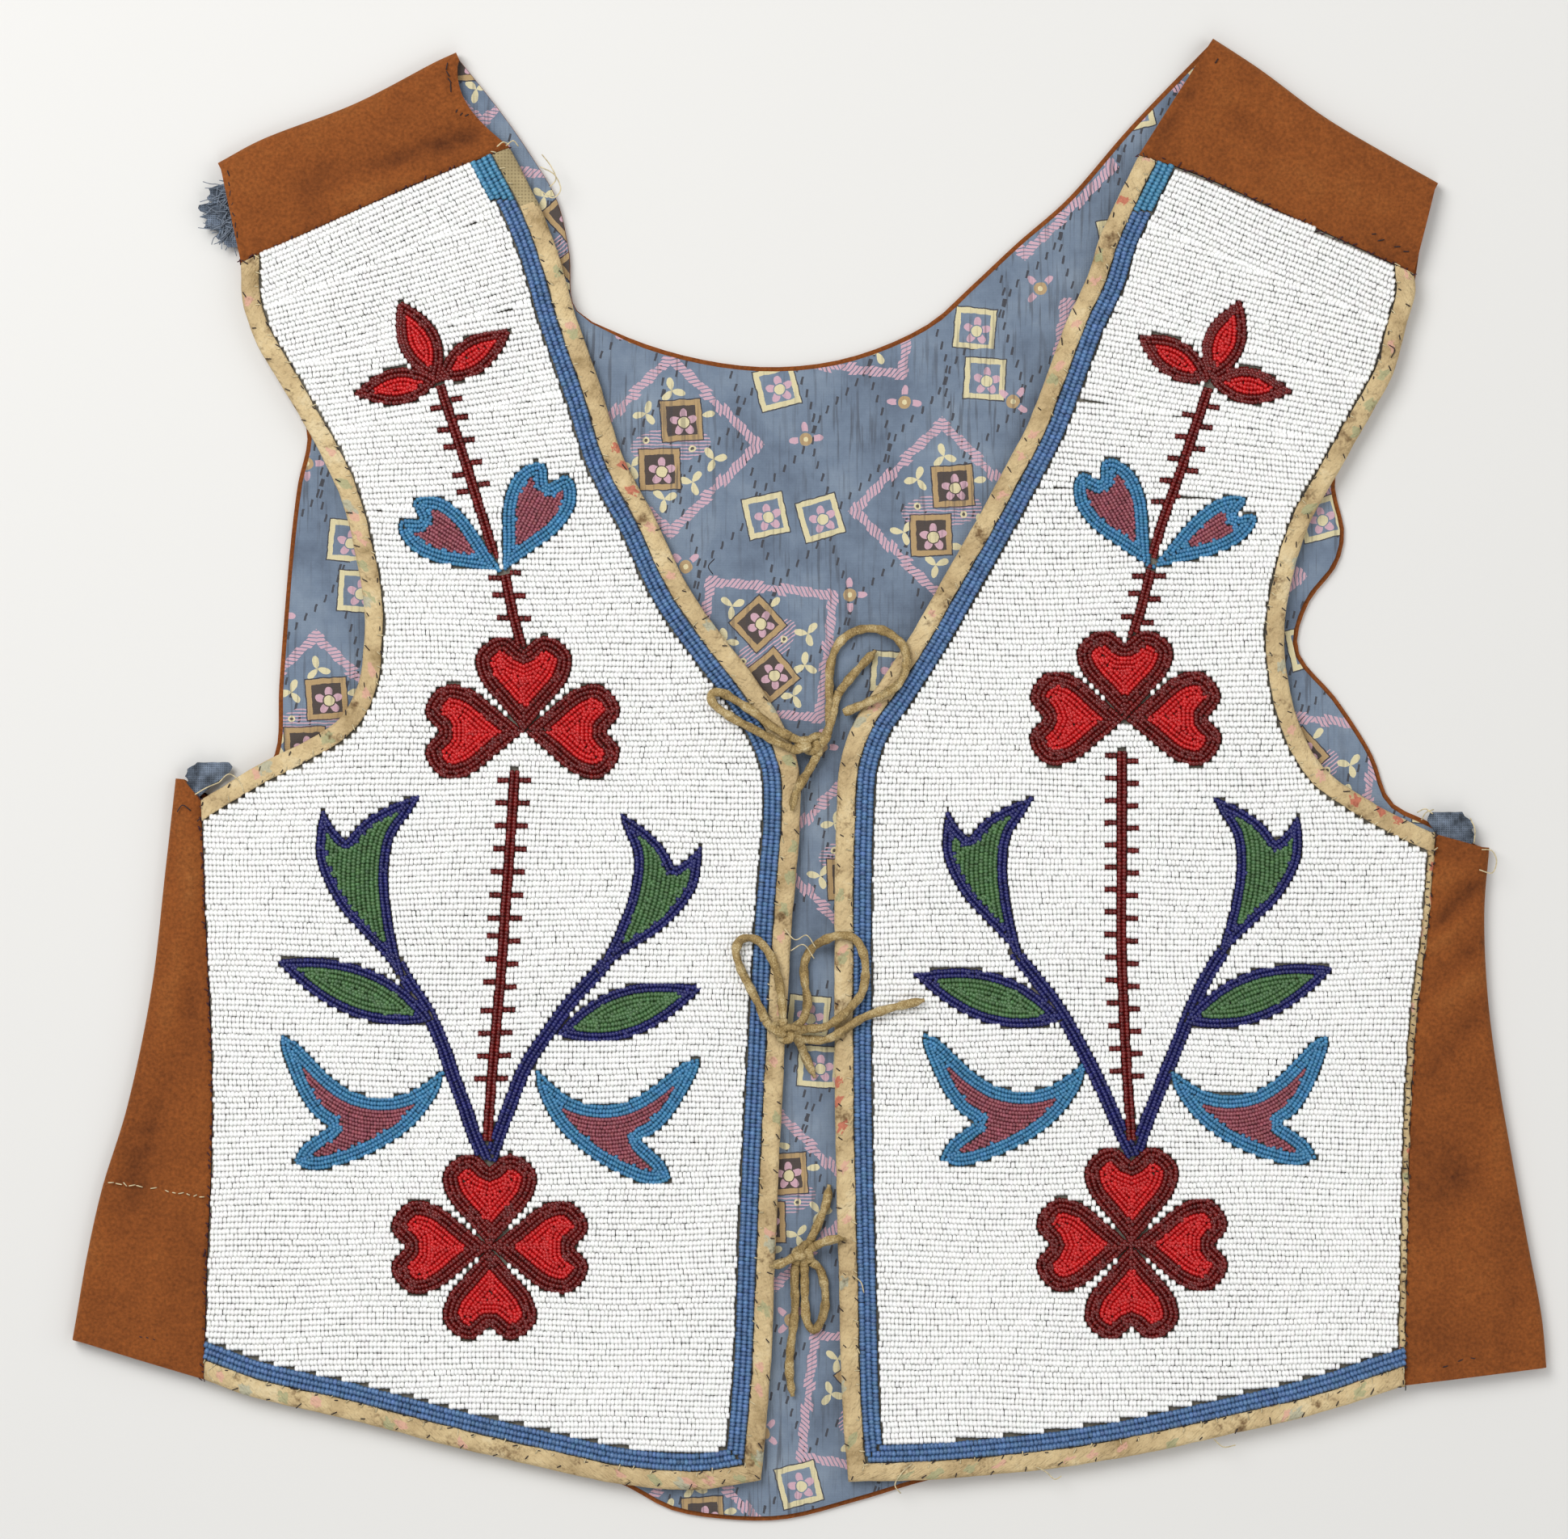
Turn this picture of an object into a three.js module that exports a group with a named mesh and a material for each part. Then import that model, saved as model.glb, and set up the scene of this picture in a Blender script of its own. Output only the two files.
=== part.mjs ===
// A beaded vest laid flat, front side up. Millimetres, +Z up, the neck towards +Y.
// The origin is on the surface that the vest lies on, under the middle of its outline.
// Left is the -X side. "out" is the distance from the vest's middle line, "up" is +Y.
import * as THREE from "three";
import { mergeVertices } from "three/addons/utils/BufferGeometryUtils.js";

// Cloth walls and the small gap between neighbouring pieces.
const seamGap = 0.3;
const velvetThick = 1.2;
const liningThick = 1.0;
const frontThick = 1.2;
const bindingThick = 1.0;
const fieldThick = 1.6;
const borderThick = 1.4;

// Heights of the layers over the surface: the middle of each wall, or its underside where it says so.
const velvetMiddle = velvetThick / 2;
const liningMiddle = velvetThick + seamGap + liningThick / 2;
const liningTop = liningMiddle + liningThick / 2;
const bindingUnderside = liningTop + seamGap;
const frontMiddle = bindingUnderside + bindingThick + seamGap + frontThick / 2;
const beadUnderside = frontMiddle + frontThick / 2 + seamGap;
const bindingTop = beadUnderside + bindingThick;
const sideLiningMiddle = bindingUnderside + liningThick / 2;

// The velvet turns over at the sides and shoulders and comes back level with the fronts.
const turnRadius = (frontMiddle - velvetMiddle) / 2;
const turnReach = turnRadius + velvetThick / 2;
const turnSteps = 5;
const liningReach = turnReach + 0.6;

// Bands along the fronts' edges, measured in from the finished edge.
const bindingWidth = 6.0;
const clothSetback = bindingThick + 2 * seamGap;
const borderStart = bindingWidth + seamGap;
const borderWidth = 5.5;
const fieldStart = borderStart + borderWidth + seamGap;
const fieldStartAtArmhole = bindingWidth + seamGap;
const liningSetback = 1.5;

// Leather thongs.
const thongDiameter = 2.5;
const thongSides = 8;
const thongStep = 6;

const colours = {
  velvet: 0x8a4a1e,
  lining: 0x5c7799,
  torn: 0x4a5666,
  backing: 0xd9cfb8,
  whiteBeads: 0xf2f2ee,
  blueBeads: 0x2e5a9a,
  calico: 0xd0b781,
  thong: 0x93784a,
};

// The fronts' outlines. Each edge runs clockwise round its panel, seen in (out, up).
const fronts = {
  left: {
    side: -1,
    shoulder: [
      { out: 96.5, up: 203.5 },
      { out: 125, up: 192.5 },
      { out: 151, up: 181 },
      { out: 183, up: 166.5 },
    ],
    armhole: [
      { out: 183, up: 166.5 },
      { out: 182.5, up: 154 },
      { out: 178.5, up: 141.5 },
      { out: 169.5, up: 126 },
      { out: 157.5, up: 105 },
      { out: 150.5, up: 89.5 },
      { out: 146.5, up: 74 },
      { out: 143.5, up: 57 },
      { out: 143.5, up: 43 },
      { out: 145.5, up: 30 },
      { out: 151.5, up: 19.5 },
      { out: 164, up: 11.5 },
      { out: 177, up: 5 },
      { out: 196, up: -6.5 },
    ],
    seam: [
      { out: 196, up: -6.5 },
      { out: 194.5, up: -45 },
      { out: 192.5, up: -90 },
      { out: 192.5, up: -120 },
      { out: 194, up: -157.5 },
      { out: 195, up: -193 },
    ],
    hem: [
      { out: 195, up: -193 },
      { out: 180, up: -198.5 },
      { out: 148, up: -206 },
      { out: 115.5, up: -214.5 },
      { out: 83.5, up: -222 },
      { out: 59.5, up: -227 },
      { out: 35, up: -228.5 },
      { out: 15.5, up: -225.5 },
    ],
    neck: [
      { out: 15.5, up: -225.5 },
      { out: 12.5, up: -191 },
      { out: 11, up: -155 },
      { out: 9.5, up: -118.5 },
      { out: 8.5, up: -99 },
      { out: 7.5, up: -79.5 },
      { out: 6.5, up: -62.5 },
      { out: 5.5, up: -45.5 },
      { out: 4.2, up: -30 },
      { out: 3, up: -14.5 },
      { out: 3.5, up: 4 },
      { out: 8.5, up: 18 },
      { out: 18.5, up: 34 },
      { out: 27, up: 45 },
      { out: 39.5, up: 63 },
      { out: 50, up: 85 },
      { out: 60, up: 104 },
      { out: 67, up: 126 },
      { out: 75.5, up: 150.5 },
      { out: 80.5, up: 168 },
      { out: 86.5, up: 184 },
      { out: 96.5, up: 203.5 },
    ],
  },
  right: {
    side: 1,
    shoulder: [
      { out: 106, up: 201 },
      { out: 124.5, up: 195 },
      { out: 155.5, up: 181 },
      { out: 194.5, up: 163 },
    ],
    armhole: [
      { out: 194.5, up: 163 },
      { out: 195, up: 157 },
      { out: 192, up: 145.5 },
      { out: 188, up: 131 },
      { out: 180.5, up: 117 },
      { out: 170, up: 98.5 },
      { out: 162, up: 84.5 },
      { out: 156.5, up: 69 },
      { out: 153, up: 50.5 },
      { out: 154, up: 32.5 },
      { out: 158, up: 17 },
      { out: 166, up: 3.5 },
      { out: 181.5, up: -7.5 },
      { out: 201.5, up: -17.5 },
    ],
    seam: [
      { out: 201.5, up: -17.5 },
      { out: 199.5, up: -45 },
      { out: 195.5, up: -77 },
      { out: 193.5, up: -109.5 },
      { out: 192.5, up: -150 },
      { out: 191.5, up: -195 },
    ],
    hem: [
      { out: 191.5, up: -195 },
      { out: 165.5, up: -203.5 },
      { out: 136.5, up: -210.5 },
      { out: 104.5, up: -217.5 },
      { out: 80, up: -221.5 },
      { out: 56, up: -224 },
      { out: 36, up: -225.5 },
      { out: 12.5, up: -226 },
    ],
    neck: [
      { out: 12.5, up: -226 },
      { out: 10.5, up: -201.5 },
      { out: 9.5, up: -165 },
      { out: 9, up: -145.5 },
      { out: 8.5, up: -126 },
      { out: 8, up: -87 },
      { out: 8, up: -66 },
      { out: 8, up: -45.5 },
      { out: 8.5, up: -14.5 },
      { out: 10, up: 6 },
      { out: 15, up: 20 },
      { out: 22.5, up: 31 },
      { out: 32.5, up: 46.5 },
      { out: 42, up: 63 },
      { out: 54.5, up: 85 },
      { out: 64, up: 102.5 },
      { out: 70, up: 114 },
      { out: 76.5, up: 130.5 },
      { out: 83.5, up: 149.5 },
      { out: 89.5, up: 162 },
      { out: 94, up: 176 },
      { out: 106, up: 201 },
    ],
  },
};

// Soft hollows and swells of the fronts: middle, reach across and along, and how far the cloth rises.
const frontFolds = {
  left: [
    { out: 100, up: -80, across: 42, along: 62, rise: -1.1 },
    { out: 108, up: 75, across: 22, along: 45, rise: -0.9 },
    { out: 150, up: -135, across: 18, along: 26, rise: 0.5 },
    { out: 60, up: -20, across: 20, along: 26, rise: 0.45 },
  ],
  right: [
    { out: 102, up: -70, across: 42, along: 66, rise: -1.1 },
    { out: 118, up: 70, across: 22, along: 45, rise: -0.9 },
    { out: 70, up: -150, across: 22, along: 24, rise: 0.5 },
    { out: 150, up: -40, across: 18, along: 24, rise: 0.4 },
  ],
};

// The back's outline: fold up the side, armhole and shoulder fold of each side, then neck and hem.
const back = {
  left: {
    side: -1,
    fold: [
      { out: 237.5, up: -180.5 },
      { out: 236, up: -172 },
      { out: 233, up: -154.5 },
      { out: 228, up: -132 },
      { out: 220, up: -106 },
      { out: 212, up: -67.5 },
      { out: 207.5, up: -29 },
      { out: 204, up: 2 },
    ],
    armhole: [
      { out: 204, up: 2 },
      { out: 193, up: -5.5 },
      { out: 180, up: -1.5 },
      { out: 172.5, up: 8 },
      { out: 171, up: 30 },
      { out: 169.5, up: 50.5 },
      { out: 167, up: 79 },
      { out: 165, up: 95 },
      { out: 162, up: 112 },
      { out: 169, up: 126 },
      { out: 177.5, up: 141.5 },
      { out: 182, up: 157 },
      { out: 185, up: 178 },
      { out: 190, up: 199 },
    ],
    shoulder: [
      { out: 190, up: 199 },
      { out: 177, up: 206 },
      { out: 146, up: 218 },
      { out: 120, up: 231.5 },
      { out: 114.5, up: 234 },
    ],
    strapStart: 95,
  },
  right: {
    side: 1,
    fold: [
      { out: 237.5, up: -189.5 },
      { out: 236, up: -173.5 },
      { out: 231.5, up: -149.5 },
      { out: 226.5, up: -122.5 },
      { out: 222, up: -96.5 },
      { out: 218.5, up: -69 },
      { out: 217.5, up: -42 },
      { out: 219, up: -23 },
    ],
    armhole: [
      { out: 219, up: -23 },
      { out: 210, up: -18.5 },
      { out: 198.5, up: -13 },
      { out: 187.5, up: -7 },
      { out: 181.5, up: 8 },
      { out: 170, up: 26 },
      { out: 157.5, up: 42 },
      { out: 161, up: 57 },
      { out: 170, up: 69 },
      { out: 172.5, up: 79 },
      { out: 169.5, up: 97.5 },
      { out: 179, up: 117 },
      { out: 187, up: 131 },
      { out: 191, up: 145.5 },
      { out: 194.5, up: 157 },
      { out: 198, up: 178 },
      { out: 202, up: 192.5 },
    ],
    shoulder: [
      { out: 202, up: 192.5 },
      { out: 187, up: 201 },
      { out: 166, up: 213.5 },
      { out: 145, up: 229 },
      { out: 130.5, up: 238.5 },
    ],
    strapStart: 97.5,
  },
  neck: [
    { x: -114.5, up: 234 },
    { x: -99, up: 214.5 },
    { x: -89, up: 200 },
    { x: -81.5, up: 187 },
    { x: -77.5, up: 170 },
    { x: -75.5, up: 152 },
    { x: -63, up: 144.5 },
    { x: -39.5, up: 136.5 },
    { x: -13.5, up: 133 },
    { x: 12.5, up: 136 },
    { x: 38.5, up: 147 },
    { x: 51.5, up: 158.5 },
    { x: 67, up: 173 },
    { x: 83, up: 187 },
    { x: 103.5, up: 210.5 },
    { x: 130.5, up: 238.5 },
  ],
  strapStartsOnNeck: { left: -75.5, right: 51.5 },
  hem: [
    { x: -237.5, up: -180.5 },
    { x: -202.5, up: -186.5 },
    { x: -148, up: -201 },
    { x: -99, up: -214 },
    { x: -61, up: -227 },
    { x: -44.5, up: -235.5 },
    { x: -26.5, up: -238.5 },
    { x: -8, up: -238.5 },
    { x: 16, up: -232.5 },
    { x: 40, up: -225.5 },
    { x: 104.5, up: -213.5 },
    { x: 165.5, up: -200 },
    { x: 202.5, up: -191.5 },
    { x: 223.5, up: -190 },
    { x: 237.5, up: -189.5 },
  ],
};

// Small bits of lining that show at the underarms and the left shoulder, in rows from the top down.
const liningBits = [
  {
    name: "left_side_lining",
    side: -1,
    colour: colours.lining,
    rows: [
      { up: 5.5, from: 187, to: 197 },
      { up: 4, from: 185.8, to: 200.5 },
      { up: 1, from: 188, to: 201 },
      { up: -2, from: 192.6, to: 201 },
      { up: -6, from: 197, to: 201 },
      { up: -12, from: 197.5, to: 201 },
    ],
  },
  {
    name: "right_side_lining",
    side: 1,
    colour: colours.lining,
    rows: [
      { up: -10.5, from: 200, to: 210 },
      { up: -13, from: 199, to: 213.5 },
      { up: -16, from: 201, to: 214.3 },
      { up: -20, from: 203, to: 214.3 },
      { up: -26, from: 203.5, to: 214 },
    ],
  },
  {
    name: "torn_lining",
    side: -1,
    colour: colours.torn,
    rows: [
      { up: 193, from: 183.5, to: 190 },
      { up: 188, from: 182, to: 194 },
      { up: 182, from: 180.5, to: 196.5 },
      { up: 176, from: 180, to: 192 },
      { up: 171.5, from: 180.5, to: 187 },
    ],
  },
];

// Where the thongs lie: over bare lining, over a binding, and over the beads.
const overLining = liningTop + seamGap + thongDiameter / 2;
const overBinding = bindingTop + seamGap + thongDiameter / 2;
const overBeads = beadUnderside + fieldThick + seamGap + thongDiameter / 2;

// Knots: middle, half sizes and turn in the plane.
const knots = [
  { name: "upper_tie_knot", x: 0.4, y: 11.6, z: 6, length: 5.2, width: 3.0, height: 2.7, turn: 18 },
  { name: "middle_tie_knot", x: -7.6, y: -81, z: 9.9, length: 6.2, width: 3.2, height: 2.9, turn: -10 },
  { name: "lower_tie_knot", x: -1.9, y: -152, z: 5.6, length: 3.2, width: 3.0, height: 2.7, turn: 40 },
];

// Thong runs, each from where it leaves its knot or edge to its end.
const thongs = [
  {
    name: "upper_tie_left_loop",
    points: [
      { x: -5.9, y: 10, z: overBinding + 0.1 },
      { x: -10.5, y: 12.1, z: overBinding + 0.3 },
      { x: -17.2, y: 15.8, z: overBeads },
      { x: -25, y: 20, z: overBeads },
      { x: -31, y: 24.6, z: overBeads },
      { x: -31.6, y: 27.6, z: overBeads },
      { x: -28.6, y: 28, z: overBeads },
      { x: -23, y: 25, z: overBeads },
      { x: -17, y: 21, z: overBeads },
      { x: -11.6, y: 16.8, z: overBinding + 0.6 },
      { x: -6.2, y: 13.8, z: overBinding + 0.1 },
    ],
  },
  {
    name: "upper_tie_right_loop",
    points: [
      { x: 5.9, y: 14.6, z: overLining + 2.1 },
      { x: 6.5, y: 20, z: overLining + 0.6 },
      { x: 6.4, y: 29, z: overLining },
      { x: 6.9, y: 37.5, z: overLining },
      { x: 9.6, y: 44, z: overLining },
      { x: 14.8, y: 47.8, z: overLining },
      { x: 20.6, y: 48.6, z: overLining + 0.6 },
      { x: 26, y: 46.8, z: overBinding - 0.2 },
      { x: 30, y: 43, z: overBinding },
      { x: 31.2, y: 38, z: overBinding + 0.3 },
      { x: 29.2, y: 31.5, z: overBinding + 0.3 },
      { x: 24, y: 27.4, z: overBinding + 0.2 },
      { x: 17.6, y: 24.4, z: overBinding },
      { x: 11.2, y: 21.6, z: overLining + 1.2 },
    ],
  },
  {
    name: "upper_tie_tail",
    points: [
      { x: 2.6, y: 8, z: overLining + 1.8 },
      { x: 0.4, y: 4, z: overLining + 0.9 },
      { x: -2.4, y: -0.6, z: overBinding - 0.4 },
      { x: -4.6, y: -4.4, z: overBinding },
      { x: -5.6, y: -10, z: overBinding },
    ],
  },
  {
    name: "upper_tie_inner_end",
    points: [
      { x: 9.6, y: 28.2, z: overLining },
      { x: 13.4, y: 33, z: overLining },
      { x: 17.6, y: 37.6, z: overLining },
      { x: 21.4, y: 41.6, z: overLining },
    ],
  },
  {
    name: "middle_tie_left_loop",
    points: [
      { x: -14.2, y: -77.4, z: overBeads + 0.2 },
      { x: -16, y: -73, z: overBeads },
      { x: -19.2, y: -66.6, z: overBeads },
      { x: -22.4, y: -60, z: overBeads },
      { x: -23.6, y: -54.4, z: overBeads },
      { x: -21.6, y: -51.2, z: overBeads },
      { x: -17.4, y: -51.2, z: overBeads },
      { x: -13.8, y: -54.6, z: overBeads },
      { x: -11.2, y: -59.6, z: overBinding + 0.4 },
      { x: -9.6, y: -66, z: overBinding },
      { x: -8.8, y: -72.6, z: overBinding + 0.4 },
      { x: -8.6, y: -77, z: overBinding + 1.4 },
    ],
  },
  {
    name: "middle_tie_right_loop",
    points: [
      { x: -0.9, y: -80, z: overBinding + 0.6 },
      { x: 4.6, y: -79.6, z: overBinding + 0.3 },
      { x: 9.6, y: -76.6, z: overBinding + 0.6 },
      { x: 13.8, y: -72.6, z: overBinding + 0.4 },
      { x: 16.8, y: -68.6, z: overBeads },
      { x: 18, y: -62, z: overBeads },
      { x: 17.2, y: -55.6, z: overBeads },
      { x: 14.4, y: -51, z: overBinding + 0.5 },
      { x: 9.8, y: -50, z: overBinding + 0.1 },
      { x: 4.8, y: -51.6, z: overBinding - 0.6 },
      { x: 0.6, y: -54.6, z: overLining + 0.3 },
      { x: -1.6, y: -59, z: overLining },
      { x: -1.4, y: -66, z: overLining },
      { x: -0.6, y: -71.6, z: overLining + 0.6 },
      { x: -1.4, y: -75.6, z: overLining + 2.6 },
    ],
  },
  {
    name: "middle_tie_long_end",
    points: [
      { x: -0.2, y: -83.6, z: overLining + 2 },
      { x: 4.4, y: -83.8, z: overLining + 2.6 },
      { x: 8.4, y: -82.2, z: overBinding + 0.3 },
      { x: 12, y: -79.8, z: overBinding + 0.2 },
      { x: 17, y: -76.6, z: overBeads },
      { x: 24, y: -74, z: overBeads },
      { x: 31, y: -72.2, z: overBeads },
      { x: 37, y: -70.8, z: overBeads },
    ],
  },
  {
    name: "middle_tie_short_end",
    points: [
      { x: -2.8, y: -85.4, z: overLining + 2 },
      { x: -1.4, y: -89, z: overLining + 0.4 },
      { x: 0.2, y: -92.6, z: overLining },
      { x: 1.8, y: -96, z: overLining },
    ],
  },
  {
    name: "lower_tie_upper_run",
    points: [
      { x: 0.2, y: -148.6, z: overLining + 1.2 },
      { x: 3, y: -142.6, z: overLining + 0.2 },
      { x: 5.4, y: -136.4, z: overLining },
      { x: 6.4, y: -130.4, z: overLining },
    ],
  },
  {
    name: "lower_tie_right_run",
    points: [
      { x: 1.8, y: -150, z: overLining + 2.6 },
      { x: 5.2, y: -148.4, z: overBinding - 0.4 },
      { x: 8.6, y: -147.6, z: overBinding + 0.1 },
      { x: 11.6, y: -147.6, z: overBinding },
    ],
  },
  {
    name: "lower_tie_left_run",
    points: [
      { x: -5.2, y: -153.6, z: overLining + 2.6 },
      { x: -8, y: -155, z: overLining + 3.6 },
      { x: -10.8, y: -156, z: overBinding - 0.2 },
      { x: -13, y: -156.4, z: overBinding },
    ],
  },
  {
    name: "lower_tie_loop",
    points: [
      { x: 0.6, y: -155.2, z: overLining + 1.4 },
      { x: 3.2, y: -157.4, z: overLining + 0.4 },
      { x: 4.9, y: -163.4, z: overLining },
      { x: 5, y: -169.6, z: overLining },
      { x: 3.6, y: -174.6, z: overLining },
      { x: 1.4, y: -177.4, z: overLining },
      { x: -0.6, y: -175, z: overLining },
      { x: -1.4, y: -169, z: overLining },
      { x: -1.5, y: -162.6, z: overLining },
      { x: -1.6, y: -156.6, z: overLining + 1 },
    ],
  },
  {
    name: "lower_tie_free_end",
    points: [
      { x: -4.6, y: -156, z: overLining + 1.2 },
      { x: -4.8, y: -162, z: overLining },
      { x: -4.6, y: -168.6, z: overLining },
      { x: -5.2, y: -176, z: overLining },
      { x: -6.2, y: -184, z: overLining },
      { x: -6.4, y: -191.6, z: overLining },
      { x: -5.4, y: -198.6, z: overLining },
    ],
  },
];

// ---- Lines in the plane -------------------------------------------------------------

const lineStep = 1.5;

// A dense line that passes smoothly through a table's rows.
function smoothLine(rows) {
  const places = rows.map((row) => new THREE.Vector3(row.out ?? row.x, row.up, 0));
  const curve = new THREE.CatmullRomCurve3(places, false, "centripetal");
  const steps = Math.ceil(curve.getLength() / lineStep);
  return curve.getSpacedPoints(steps).map((p) => new THREE.Vector2(p.x, p.y));
}

// Moves a line to the right of its own direction, which is inwards on a clockwise outline.
function inset(line, distance) {
  return line.map((point, k) => {
    const before = line[Math.max(k - 1, 0)];
    const after = line[Math.min(k + 1, line.length - 1)];
    const along = after.clone().sub(before).normalize();
    return new THREE.Vector2(point.x + along.y * distance, point.y - along.x * distance);
  });
}

function extended(line, reach) {
  const start = line[0].clone().sub(line[1]).setLength(reach).add(line[0]);
  const last = line.length - 1;
  const end = line[last].clone().sub(line[last - 1]).setLength(reach).add(line[last]);
  return [start, ...line, end];
}

// The first place where two lines cross, with its place along each of them.
function crossing(first, second) {
  for (let i = 0; i + 1 < first.length; i++) {
    for (let j = 0; j + 1 < second.length; j++) {
      const a = first[i + 1].clone().sub(first[i]);
      const b = second[j + 1].clone().sub(second[j]);
      const gap = second[j].clone().sub(first[i]);
      const turn = a.cross(b);
      if (Math.abs(turn) < 1e-12) continue;
      const onFirst = gap.cross(b) / turn;
      const onSecond = gap.cross(a) / turn;
      if (onFirst >= 0 && onFirst <= 1 && onSecond >= 0 && onSecond <= 1) {
        return { onFirst: i + onFirst, onSecond: j + onSecond };
      }
    }
  }
  throw new Error("two edges of an outline don't meet");
}

function placeOn(line, at) {
  const k = Math.min(Math.floor(at), line.length - 2);
  return line[k].clone().lerp(line[k + 1], at - k);
}

function stretch(line, from, to) {
  const inside = line.filter((_, k) => k > from + 1e-6 && k < to - 1e-6);
  return [placeOn(line, from), ...inside, placeOn(line, to)];
}

// The edges of a closed outline, each moved in by its own distance and cut where its neighbours cross it.
function trimmedLoop(edges, distances) {
  const moved = edges.map((edge, k) => extended(inset(edge, distances[k]), 4));
  const count = moved.length;
  const corners = moved.map((edge, k) => crossing(edge, moved[(k + 1) % count]));
  return moved.map((edge, k) => {
    const start = corners[(k + count - 1) % count].onSecond;
    return stretch(edge, start, corners[k].onFirst);
  });
}

// Evenly spaced places along a line, with both its ends.
function stationsOn(line, count) {
  const lengths = [0];
  for (let k = 1; k < line.length; k++) lengths.push(lengths[k - 1] + line[k].distanceTo(line[k - 1]));
  const total = lengths[lengths.length - 1];
  const stations = [];
  for (let n = 0; n <= count; n++) {
    const want = (total * n) / count;
    let k = lengths.findIndex((length) => length >= want - 1e-9);
    k = Math.max(k, 1);
    const share = (want - lengths[k - 1]) / (lengths[k] - lengths[k - 1]);
    stations.push(line[k - 1].clone().lerp(line[k], share));
  }
  return stations;
}

// Cuts a line in two where it first passes a value of x or y.
function splitWhere(line, test) {
  const k = line.findIndex(test);
  return [line.slice(0, k + 1), line.slice(k)];
}

// ---- Sheets and walls ---------------------------------------------------------------

// A grid of places inside four edges: rows go from bottom to top, columns from left to right.
function patch(bottom, top, left, right) {
  const rows = left.length - 1;
  const columns = bottom.length - 1;
  return left.map((_, i) =>
    bottom.map((_, j) => {
      const v = i / rows;
      const u = j / columns;
      const between = (a, b, share) => a.clone().lerp(b, share);
      const upward = between(bottom[j], top[j], v);
      const across = between(left[i], right[i], u);
      const corners = between(between(bottom[0], bottom[columns], u), between(top[0], top[columns], u), v);
      return upward.add(across).sub(corners);
    }),
  );
}

// Moves a grid's inner places along a smooth map, so that no cell folds over beside a hollow edge.
function relaxed(grid, rounds) {
  const places = grid.map((row) => row.map((p) => p.clone()));
  for (let round = 0; round < rounds; round++) {
    for (let i = 1; i + 1 < places.length; i++) {
      const [lower, row, upper] = places.slice(i - 1, i + 2);
      for (let j = 1; j + 1 < row.length; j++) {
        const across = row[j + 1].clone().sub(row[j - 1]).divideScalar(2);
        const upward = upper[j].clone().sub(lower[j]).divideScalar(2);
        const skew = upper[j + 1].clone().sub(upper[j - 1]).sub(lower[j + 1]).add(lower[j - 1]);
        const beside = row[j + 1].clone().add(row[j - 1]).multiplyScalar(upward.lengthSq());
        const along = upper[j].clone().add(lower[j]).multiplyScalar(across.lengthSq());
        const sum = beside.add(along).sub(skew.multiplyScalar(across.dot(upward) / 2));
        row[j] = sum.divideScalar(2 * (upward.lengthSq() + across.lengthSq()));
      }
    }
  }
  return places;
}

function lifted(grid, height) {
  return grid.map((row) => row.map((p) => new THREE.Vector3(p.x, p.y, height(p))));
}

function faceOutward(geometry) {
  const index = geometry.index.array;
  const position = geometry.attributes.position;
  const [a, b, c] = [new THREE.Vector3(), new THREE.Vector3(), new THREE.Vector3()];
  let volume = 0;
  for (let k = 0; k < index.length; k += 3) {
    a.fromBufferAttribute(position, index[k]);
    b.fromBufferAttribute(position, index[k + 1]);
    c.fromBufferAttribute(position, index[k + 2]);
    volume += a.dot(b.cross(c));
  }
  if (volume > 0) return geometry;
  for (let k = 0; k < index.length; k += 3) [index[k + 1], index[k + 2]] = [index[k + 2], index[k + 1]];
  return geometry;
}

function solidFrom(points, triangles) {
  const geometry = new THREE.BufferGeometry();
  geometry.setAttribute("position", new THREE.Float32BufferAttribute(points.flatMap((p) => p.toArray()), 3));
  geometry.setIndex(triangles.flat());
  return faceOutward(geometry);
}

// Joins grids that share their edge places into one sheet, and gives the sheet its thickness.
function wall(grids, thickness) {
  const places = [];
  const known = new Map();
  const quads = [];
  const placeOf = (p) => {
    const key = p.toArray().map((n) => Math.round(n * 1000)).join(",");
    if (!known.has(key)) {
      known.set(key, places.length);
      places.push({ point: p.clone(), normal: new THREE.Vector3() });
    }
    return known.get(key);
  };
  for (const grid of grids) {
    for (let i = 0; i + 1 < grid.length; i++) {
      for (let j = 0; j + 1 < grid[i].length; j++) {
        quads.push([grid[i][j], grid[i][j + 1], grid[i + 1][j + 1], grid[i + 1][j]].map(placeOf));
      }
    }
  }
  const edges = new Map();
  for (const quad of quads) {
    const corners = quad.map((k) => places[k].point);
    const one = corners[2].clone().sub(corners[0]);
    const other = corners[3].clone().sub(corners[1]);
    const normal = one.cross(other);
    for (const k of quad) places[k].normal.add(normal);
    quad.forEach((k, n) => {
      const next = quad[(n + 1) % 4];
      if (!edges.delete(next + "," + k)) edges.set(k + "," + next, [k, next]);
    });
  }
  const half = thickness / 2;
  const over = places.map(({ point, normal }) => normal.clone().setLength(half).add(point));
  const under = places.map(({ point, normal }) => normal.clone().setLength(-half).add(point));
  const count = places.length;
  const triangles = [];
  for (const [a, b, c, d] of quads) {
    const short = places[a].point.distanceTo(places[c].point) < places[b].point.distanceTo(places[d].point);
    const pair = short ? [[a, b, c], [a, c, d]] : [[b, c, d], [b, d, a]];
    for (const [p, q, r] of pair) {
      triangles.push([p, q, r]);
      triangles.push([r + count, q + count, p + count]);
    }
  }
  for (const [a, b] of edges.values()) {
    triangles.push([b, a, a + count]);
    triangles.push([b, a + count, b + count]);
  }
  return solidFrom([...over, ...under], triangles);
}

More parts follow.
